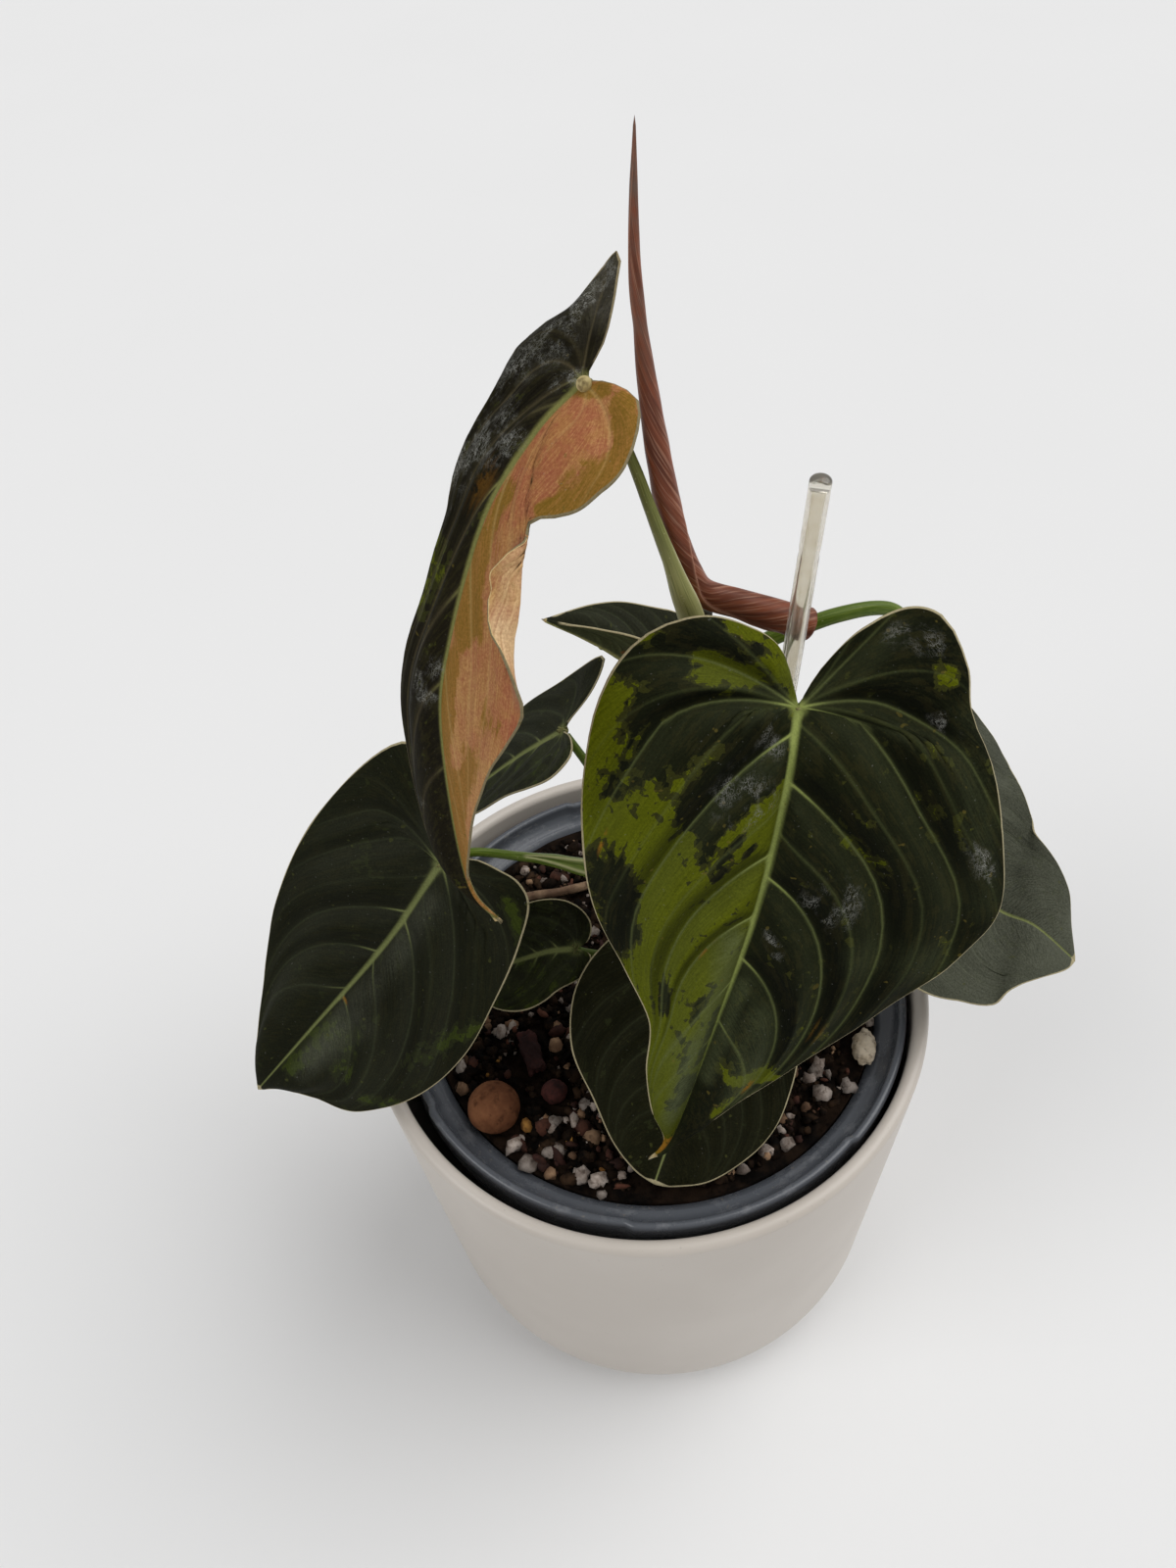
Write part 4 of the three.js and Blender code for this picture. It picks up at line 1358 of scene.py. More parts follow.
    def skin(self) -> Skin:
        """Closed blade: a sheet given hills, then thickened, with grooves above, ribs below and a round rim.

        Returns:
            The closed skin.
        """
        values, triangles = self._sheet()
        middle = values["points"]
        middle = middle + self._normals(middle, triangles) * values["hills"][:, None]
        normals = self._normals(middle, triangles)
        half = self.thickness / 2
        upper = middle + normals * (half - values["groove"])[:, None]
        lower = middle - normals * (half + values["under"])[:, None]
        edges, ring, outward = self._edge(middle, triangles, normals)
        bead = middle[ring] + outward * half * 0.8
        count = len(middle)
        place = np.full(count, -1)
        place[ring] = 2 * count + np.arange(len(ring))
        a, b = edges.T
        rim = np.concatenate([
            np.stack([b, a, place[a], place[b]], 1),
            np.stack([place[b], place[a], a + count, b + count], 1),
        ])
        faces = {Side.UPPER: triangles, Side.UNDER: triangles[:, ::-1] + count}
        uv = np.stack([values["u"], values["v"]], 1)
        return Skin(
            points=np.concatenate([upper, lower, bead]),
            faces=[*faces.values(), rim],
            masks={key: np.concatenate([values[key], values[key], values[key][ring]]) for key in self.MASKS},
            uv=np.concatenate([uv, uv, uv[ring]]),
            finish_index=[
                *(np.full(len(part), side.value) for side, part in faces.items()),
                np.full(len(rim), Side.UPPER.value),
            ],
        )

    def build(self, finishes: list[Material]) -> None:
        """Makes the piece, with its upper and under finish."""
        made = self.skin().object(self.node.replace("leaf_", "dressed_"), finishes)
        install(made, self.node)


@dataclass
class Stalk:
    """Stem, petiole or root: rings of changing radius along a smooth line.

    A ring's radius is shrunk by a groove that faces one way, which opens a sheath: radius times
    1 - groove * exp(-(angle / width)^2). Joints swell the radius by bell curves along the line.
    """

    node: str
    slot: str
    path: list[Point]
    radii: Numbers
    facing: Point = (0, -1, 0.4)
    groove: Numbers = (0.12,)
    groove_width: Numbers = (0.5,)
    pale: Numbers = (0.0,)
    joints: Numbers = ()
    steps: int = 90
    sides: int = 28
    lumps: float = 0.04

    def skin(self, grow: float = 0.0) -> Skin:
        """Closed stalk with rounded ends, and masks for the edges of its groove.

        Args:
            grow: How much wider than the stalk.

        Returns:
            The closed skin.
        """
        line = SmoothLine(self.path)
        share = np.linspace(0, 1, self.steps)
        angle = np.linspace(0, 2 * math.pi, self.sides, endpoint=False)
        centre = line.at(share)
        tangent = line.tangent(share)
        side = unit(np.cross(tangent, np.asarray(self.facing, float)))
        front = np.cross(side, tangent)
        distance = share * line.length
        radius = read_evenly(self.radii, share) + grow
        for joint in self.joints:
            past = distance - joint
            radius = radius * (1 + 0.13 * bell(past, 1.6) - 0.05 * bell(past - 2.6, 1.2))
        cut = read_evenly(self.groove, share)[:, None]
        off = np.abs((angle + math.pi) % (2 * math.pi) - math.pi)[None, :]
        width = read_evenly(self.groove_width, share)[:, None]
        ring = radius[:, None] * (1 - cut * bell(off, width))
        ring = ring * (1 + self.lumps * waves(distance[:, None], 3 * np.cos(angle), 3 * np.sin(angle), 9, 5))
        points = centre[:, None] + ring[..., None] * (
            np.cos(angle)[None, :, None] * front[:, None] + np.sin(angle)[None, :, None] * side[:, None]
        )
        edge = np.clip(bell(off - 1.2 * width, 0.2) * ease(cut, 0.2, 0.3), 0, 1)
        pale = np.broadcast_to(read_evenly(self.pale, share)[:, None], edge.shape)
        start = centre[0] - tangent[0] * radius[0] * 0.4
        end = centre[-1] + tangent[-1] * radius[-1] * 0.4
        across = np.broadcast_to(0.5 - 0.5 * np.cos(angle)[None, :] + 0.01, edge.shape)
        uv = np.stack([across, np.broadcast_to(distance[:, None] / 20, edge.shape)], -1).reshape(-1, 2)
        return Skin(
            points=np.concatenate([points.reshape(-1, 3), [start, end]]),
            faces=[grid_faces(self.steps, self.sides, closed=True), *end_fans(self.steps, self.sides)],
            masks={
                "edge": np.concatenate([edge.reshape(-1), [0, 0]]),
                "pale": np.concatenate([pale.reshape(-1), pale[0, :1], pale[-1, :1]]),
            },
            uv=np.concatenate([uv, [[0, 0], [0, 1]]]),
        )

    def build(self, finish: Material) -> None:
        """Makes the piece."""
        install(self.skin().object(f"dressed_{self.node}", [finish]), self.node)


@dataclass
class Roll:
    """Leaf that is still rolled up: a spiral section whose lip winds down the roll to an open end.

    The section radius falls by the lip share over one turn, and the section turns by twist along the roll.
    """

    node: str
    slot: str
    path: list[Point]
    radii: Numbers
    lip: float = 0.17
    twist: float = 2.6 * math.pi
    steps: int = 220
    sides: int = 64
    pleats: float = 0.008

    HOLLOW_DEPTHS = (-0.25, -4.2)
    HOLLOW_SCALES = (0.76, 0.6)

    def skin(self) -> Skin:
        """Closed roll. Its last two rings turn back inside, so that the lower end is hollow.

        Returns:
            The closed skin.
        """
        line = SmoothLine(self.path)
        share = np.concatenate([np.linspace(0, 1, self.steps), [1, 1]])
        shift = np.concatenate([np.zeros(self.steps), self.HOLLOW_DEPTHS])
        scale = np.concatenate([np.ones(self.steps), self.HOLLOW_SCALES])
        tangent = line.tangent(share)
        centre = line.at(share) + tangent * shift[:, None]
        side = unit(np.cross(tangent, [0.0, -1.0, 0.0]))
        front = np.cross(side, tangent)
        angle = np.linspace(0, 2 * math.pi, self.sides, endpoint=False)[None, :]
        turn = angle + (share * self.twist)[:, None]
        spiral = 1 - self.lip * angle / (2 * math.pi)
        radius = (read_evenly(self.radii, share) * scale)[:, None] * spiral
        length = share[:, None] * line.length
        pleat = 1 + self.pleats * np.sin(9 * angle + length * 1.7) * ease(share[:, None], 0.1, 0.4)
        radius = radius * pleat * (1 + 0.03 * waves(length, 2 * np.cos(turn), 2 * np.sin(turn), 11, 3))
        points = centre[:, None] + radius[..., None] * (
            np.cos(turn)[..., None] * front[:, None] + np.sin(turn)[..., None] * side[:, None]
        )
        rows = len(share)
        tip = line.at(np.zeros(1))[0] - line.tangent(np.zeros(1))[0] * 1.2
        floor = centre[-1] - tangent[-1] * 0.3
        inside = np.repeat(np.arange(rows) >= self.steps, self.sides).astype(float)
        edge = (bell(angle, 0.1) + np.zeros_like(length)).reshape(-1)
        uv = np.stack(np.broadcast_arrays(turn / (2 * math.pi) + length / 34, length / 20), -1).reshape(-1, 2)
        return Skin(
            points=np.concatenate([points.reshape(-1, 3), [tip, floor]]),
            faces=[grid_faces(rows, self.sides, closed=True), *end_fans(rows, self.sides)],
            masks={
                "inside": np.concatenate([inside, [0, 1]]),
                "edge": np.concatenate([edge, [0, 0]]),
                "down": np.concatenate([np.repeat(share, self.sides), [0, 1]]),
            },
            uv=np.concatenate([uv, [[0, 0], [0, 1]]]),
        )

    def build(self, finish: Material) -> None:
        """Makes the piece."""
        install(self.skin().object("dressed_new_leaf", [finish]), self.node)


@dataclass
class Planter:
    """Outer pot: flat base, wide round corner, slightly flared wall and rounded rim."""

    height: float = 120.0
    rim_radius: float = 67.5
    base_radius: float = 63.8
    corner: float = 22.0
    wall: float = 3.6
    floor: float = 5.0

    def profile(self) -> list[Flat]:
        """Outline from the middle of the base, over the rim, to the middle of the inside.

        Returns:
            Pairs of radius and height.
        """
        inner = self.corner - self.wall
        turn = self.wall / 2
        side = self.base_radius - self.corner
        return [
            (0, 0), (30, 0),
            *arc((side, self.corner), self.corner, -90, 0, 28),
            *arc((self.rim_radius - turn, self.height - turn), turn, 0, 180, 16),
            *arc((side, self.floor + inner), inner, 0, -90, 16),
            (0, self.floor),
        ]

    def build(self, effects: Effects) -> None:
        """Makes the planter in its satin glaze.

        Args:
            effects: Shared node groups.
        """
        finish = GlazeFinish("satin_glaze", (0.52, 0.47, 0.415), (0.58, 0.53, 0.475)).material(effects)
        made = turned(self.profile(), segments=256).object("dressed_planter", [finish])
        install(made, "planter")


@dataclass
class NurseryPot:
    """Grow pot: tapered cup, stepped-out lip with shallow scallops, sloping collar and drain holes."""

    centre: Flat = (1.2, 0.0)
    floor: float = 5.3
    lip_height: float = 118.3
    lip_radius: float = 61.8
    base_radius: float = 41.0
    collar: float = 56.2
    wall: float = 1.1
    band: float = 11.0
    scallops: int = 7
    scallop_depth: float = 0.8
    scallop_start: float = -151.0
    drains: int = 6
    drain_radius: float = 4.0
    drain_ring: float = 28.0

    def inside(self, height: float) -> float:
        """Radius of the inside of the cup at a height."""
        share = (height - self.floor) / (self.lip_height - self.floor)
        return self.base_radius + (self.collar - self.base_radius) * share - self.wall

    def profile(self) -> list[Flat]:
        """Outline round the wall, from the outside to the inside.

        Returns:
            Pairs of radius and height.
        """
        foot = self.lip_height - self.band
        ledge = self.lip_height - 5.2
        bead = (self.lip_radius - 1, self.lip_height - 1)
        inner = self.inside(ledge - 1.4)
        return [
            (0, self.floor), (self.base_radius - 0.8, self.floor), (self.base_radius, self.floor + 0.8),
            (self.inside(foot) + self.wall, foot), (self.lip_radius - 0.9, foot + 0.1),
            (self.lip_radius - 0.35, foot + 0.5), (self.lip_radius - 0.1, self.lip_height - 2.2),
            *arc(bead, 1.0, 0, 180, 10),
            (self.lip_radius - 2.35, self.lip_height - 2.4), (self.lip_radius - 2.7, self.lip_height - 3),
            (self.collar + 0.9, ledge + 0.75), (self.collar + 0.3, ledge + 0.6),
            (self.collar - 0.1, ledge + 0.55), (self.collar - 0.5, ledge + 0.2), (inner + 0.2, ledge - 0.5),
            (inner, ledge - 1.4),
            (self.inside(self.floor + 3), self.floor + 3), (self.inside(self.floor) - 1.2, self.floor + 1.5),
            (0, self.floor + 1.5),
        ]

    def skin(self) -> Skin:
        """Turned wall whose lip draws in by depth * t^1.4 along each scallop, t from 0 to 1, then steps out.

        Returns:
            The closed skin.
        """
        skin = turned(self.profile(), self.centre, 420)
        x, y, z = (skin.points - [*self.centre, 0]).T
        radius = np.maximum(np.hypot(x, y), 1e-9)
        turn = (np.degrees(np.arctan2(y, x)) - self.scallop_start) * self.scallops / 360 % 1
        draw = turn**1.4 * (1 - ease(turn, 0.965, 1.0)) * self.scallop_depth
        draw = draw * ease(z, self.lip_height - self.band, self.lip_height - 3)
        draw = draw * ease(radius, self.collar, self.collar + 2)
        skin.points[:, 0] -= x / radius * draw
        skin.points[:, 1] -= y / radius * draw
        skin.points[:, 2] -= 0.35 * draw
        return skin

    def build(self, effects: Effects) -> None:
        """Makes the pot, and bores the drain holes.

        Args:
            effects: Shared node groups.
        """
        finish = PlasticFinish("scuffed_plastic", (0.08, 0.087, 0.1), (0.2, 0.205, 0.215), 0.26)
        made = self.skin().object("dressed_nursery_pot", [finish.material(effects)])
        angle = np.arange(self.drains) / self.drains * 2 * math.pi
        low, high, radius = self.floor - 2, self.floor + 4, self.drain_radius
        drill = [(0, low), (radius, low), (radius, high), (0, high)]
        x = self.centre[0] + self.drain_ring * np.cos(angle)
        y = self.centre[1] + self.drain_ring * np.sin(angle)
        carve(made, [turned(drill, place, 32) for place in zip(x, y)])
        install(made, "nursery_pot")


def ball(divisions: int) -> tuple[Array, Array]:
    """Unit ball from a cube of divisions x divisions quads a side.

    Args:
        divisions: Quads along an edge of the cube.

    Returns:
        Points and quads.
    """
    line = np.linspace(-1, 1, divisions + 1)
    a, b = (v.reshape(-1) for v in np.meshgrid(line, line, indexing="ij"))
    one = np.ones_like(a)
    sides = [(a, b, one), (b, a, -one), (one, a, b), (-one, b, a), (b, one, a), (a, -one, b)]
    points = np.concatenate([np.stack(side, -1) for side in sides])
    quads = np.concatenate([grid_faces(divisions + 1, divisions + 1)[:, ::-1] + k * len(a) for k in range(6)])
    _, keep, joined = np.unique(np.round(points, 6), axis=0, return_index=True, return_inverse=True)
    return unit(points[keep]), joined.reshape(-1)[quads]


@dataclass
class Grains:
    """One kind of loose grain: how many, how large, how flat and how rough. Fixed ones have given places."""

    finish: GroundFinish
    slot: str
    count: int
    low: float
    high: float
    flatness: tuple[float, float]
    jitter: float
    rise: float
    seed: int
    radius: float = 52.0
    fixed: Sequence[Point] = ()


@dataclass
class PottingMix:
    """Moist mix in the grow pot: a crumbly top that bulges in the middle, and loose grains on it.

    Keep-out discs of x, y and radius stay clear of loose grains.
    """

    edge: float = 113.2
    crown: float = 2.2
    lumps: float = 0.55
    collar: float = 56.2
    gap: float = 0.3
    rings: int = 120
    sides: int = 360
    pot: NurseryPot = field(default_factory=NurseryPot)

    KEEP_OUT = (
        (-38, -29.6, 6.9), (-24, -26.5, 3.9), (-29.9, -18.9, 4.0), (-28.1, -12.2, 4.0), (49, -22.6, 5.4),
        (7.1, 4.5, 4.2), (21.5, -6, 3), (-25, 29.6, 3), (-16, 30, 3), (-7, 33.2, 3), (-3.5, -51, 5),
    )

    def height(self, x: Array, y: Array) -> Array:
        """Height of the top without its crumbs.

        Args:
            x: First coordinate, measured from the pot's axis.
            y: Second coordinate, measured from the pot's axis.

        Returns:
            The heights.
        """
        share = np.minimum(np.hypot(x, y) / self.collar, 1)
        hills = np.sin(x * 0.31 + 1.3) * np.cos(y * 0.27 - 0.4)
        hills = hills + 0.6 * np.sin(x * 0.73 - y * 0.41) + 0.4 * np.cos(x * 0.52 + y * 0.88)
        return self.edge + self.crown * (1 - share**2) + self.lumps * hills * (1 - share**6)

    def _crumbs(self, x: Array, y: Array) -> Array:
        """Small relief: three sizes of value noise, the middle one folded into ridges."""
        ridges = 0.5 - np.abs(lattice(x, y, 1.7, 22))
        return 0.7 * lattice(x, y, 3.1, 21) + 1.2 * ridges + 0.4 * lattice(x, y, 0.8, 23) - 0.5

    def body(self) -> Skin:
        """Closed body: foot, side and a top of rings, less wide than the pot's inside by the gap.

        Returns:
            The closed skin.
        """
        foot = self.pot.floor + 1.5 + self.gap
        edge = self.pot.inside(self.edge) - self.gap
        angle = np.linspace(0, 2 * math.pi, self.sides, endpoint=False)
        shares = np.linspace(1, 0.012, self.rings)[:, None]
        x, y = edge * shares * np.cos(angle), edge * shares * np.sin(angle)
        z = self.height(x, y) + self._crumbs(x, y) * (1 - shares**30)
        low = self.pot.inside(foot) - self.gap
        base = np.stack([low * np.cos(angle), low * np.sin(angle), np.full_like(angle, foot)], -1)
        rings = np.concatenate([base[None], np.stack([x, y, z], -1)])
        poles = [[0, 0, foot], [0, 0, float(z[-1].mean())]]
        points = np.concatenate([rings.reshape(-1, 3), poles]) + [*self.pot.centre, 0]
        caps = end_fans(self.rings + 1, self.sides)
        return Skin(points, [grid_faces(self.rings + 1, self.sides, closed=True), *caps])

    def scatter(self, kind: Grains) -> Skin:
        """All grains of a kind as whole arrays: seeded places, sizes, turns and knocks of one small ball.

        Places are drawn evenly over the disc and kept where they are clear of stems and stones. Fixed
        places come first.

        Args:
            kind: The kind of grain.

        Returns:
            One skin with all the grains.
        """
        random = np.random.default_rng(kind.seed)
        tries = kind.count * 3
        reach = kind.radius * np.sqrt(random.random(tries))
        angle = random.random(tries) * 2 * math.pi
        x = reach * np.cos(angle) + self.pot.centre[0]
        y = reach * np.sin(angle)
        size = kind.low + (kind.high - kind.low) * random.random(tries) ** 2.2
        if kind.fixed:
            fixed = np.array(kind.fixed)
            x, y, size = (np.concatenate([fixed[:, k], v]) for k, v in enumerate((x, y, size)))
        clear = np.ones(len(x), bool)
        for cx, cy, r in self.KEEP_OUT:
            clear &= np.hypot(x - cx, y - cy) > r + 0.7 * size
        keep = np.flatnonzero(clear)[: kind.count]
        x, y, size = x[keep], y[keep], size[keep]
        base, quads = ball(2)
        count = len(keep)
        stretch = random.uniform(kind.flatness[0], kind.flatness[1], (count, 1, 3))
        knocks = 1 + kind.jitter * random.uniform(-1, 1, (count, len(base), 1))
        w, i, j, k = unit(random.normal(size=(count, 4))).T
        turns = np.stack([
            1 - 2 * (j * j + k * k), 2 * (i * j - k * w), 2 * (i * k + j * w),
            2 * (i * j + k * w), 1 - 2 * (i * i + k * k), 2 * (j * k - i * w),
            2 * (i * k - j * w), 2 * (j * k + i * w), 1 - 2 * (i * i + j * j),
        ], -1).reshape(count, 3, 3)
        grains = np.einsum("nab,nvb->nva", turns, base * stretch * knocks) * size[:, None, None]
        z = self.height(x - self.pot.centre[0], y) + size * kind.rise
        points = grains + np.stack([x, y, z], -1)[:, None]
        tone = np.repeat(random.random(count), len(base))
        faces = (quads[None] + (np.arange(count) * len(base))[:, None, None]).reshape(-1, 4)
        return Skin(points=points.reshape(-1, 3), faces=[faces], masks={"tone": tone})

    def build(self, effects: Effects, standing: list[Skin]) -> None:
        """Makes the body with plain holes for what stands or lies in it, and then the loose grains.

        Args:
            effects: Shared node groups.
            standing: Closed skins, a little larger than what stands or lies in the mix.
        """
        made = self.body().object("dressed_mix", [MOIST_MIX.material(effects)])
        carve(made, standing)
        install(made, "potting_mix")
        for kind in GRAINS:
            made = self.scatter(kind).object(kind.finish.name, [kind.finish.material(effects)])
            install(made)


@dataclass
class Stone:
    """Rough stone or chip: a ball stretched, given hills and turned."""

    node: str
    slot: str
    finish: GroundFinish
    at: Point
    size: Point
    turn: float = 0.0
    hills: float = 0.06
    hill_size: float = 4.0
    squareness: float = 0.0
    seed: int = 1

    def skin(self, divisions: int = 24, grow: float = 0.0) -> Skin:
        """Ball times size, moved along its radius by a smooth random field.

        Args:
            divisions: Quads along an edge of the ball's cube.
            grow: How much larger than the stone.

        Returns:
            The closed skin.
        """
        base, quads = ball(divisions)
        cube = base / np.abs(base).max(1, keepdims=True)
        points = (base * (1 - self.squareness) + cube * self.squareness * 0.86) * self.size
        x, y, z = points.T
        hills = waves(x, y, z, self.hill_size, self.seed)
        hills = hills + 0.5 * waves(x, y, z, self.hill_size / 2.7, self.seed + 1)
        points = points * (1 - 2 * self.hills + self.hills * hills[:, None]) + base * grow
        a = math.radians(self.turn)
        turn = np.array([[math.cos(a), -math.sin(a), 0], [math.sin(a), math.cos(a), 0], [0, 0, 1]])
        return Skin(points=points @ turn.T + self.at, faces=[quads])

    def build(self, effects: Effects) -> None:
        """Makes the piece."""
        made = self.skin().object(f"dressed_{self.node}", [self.finish.material(effects)])
        install(made, self.node)


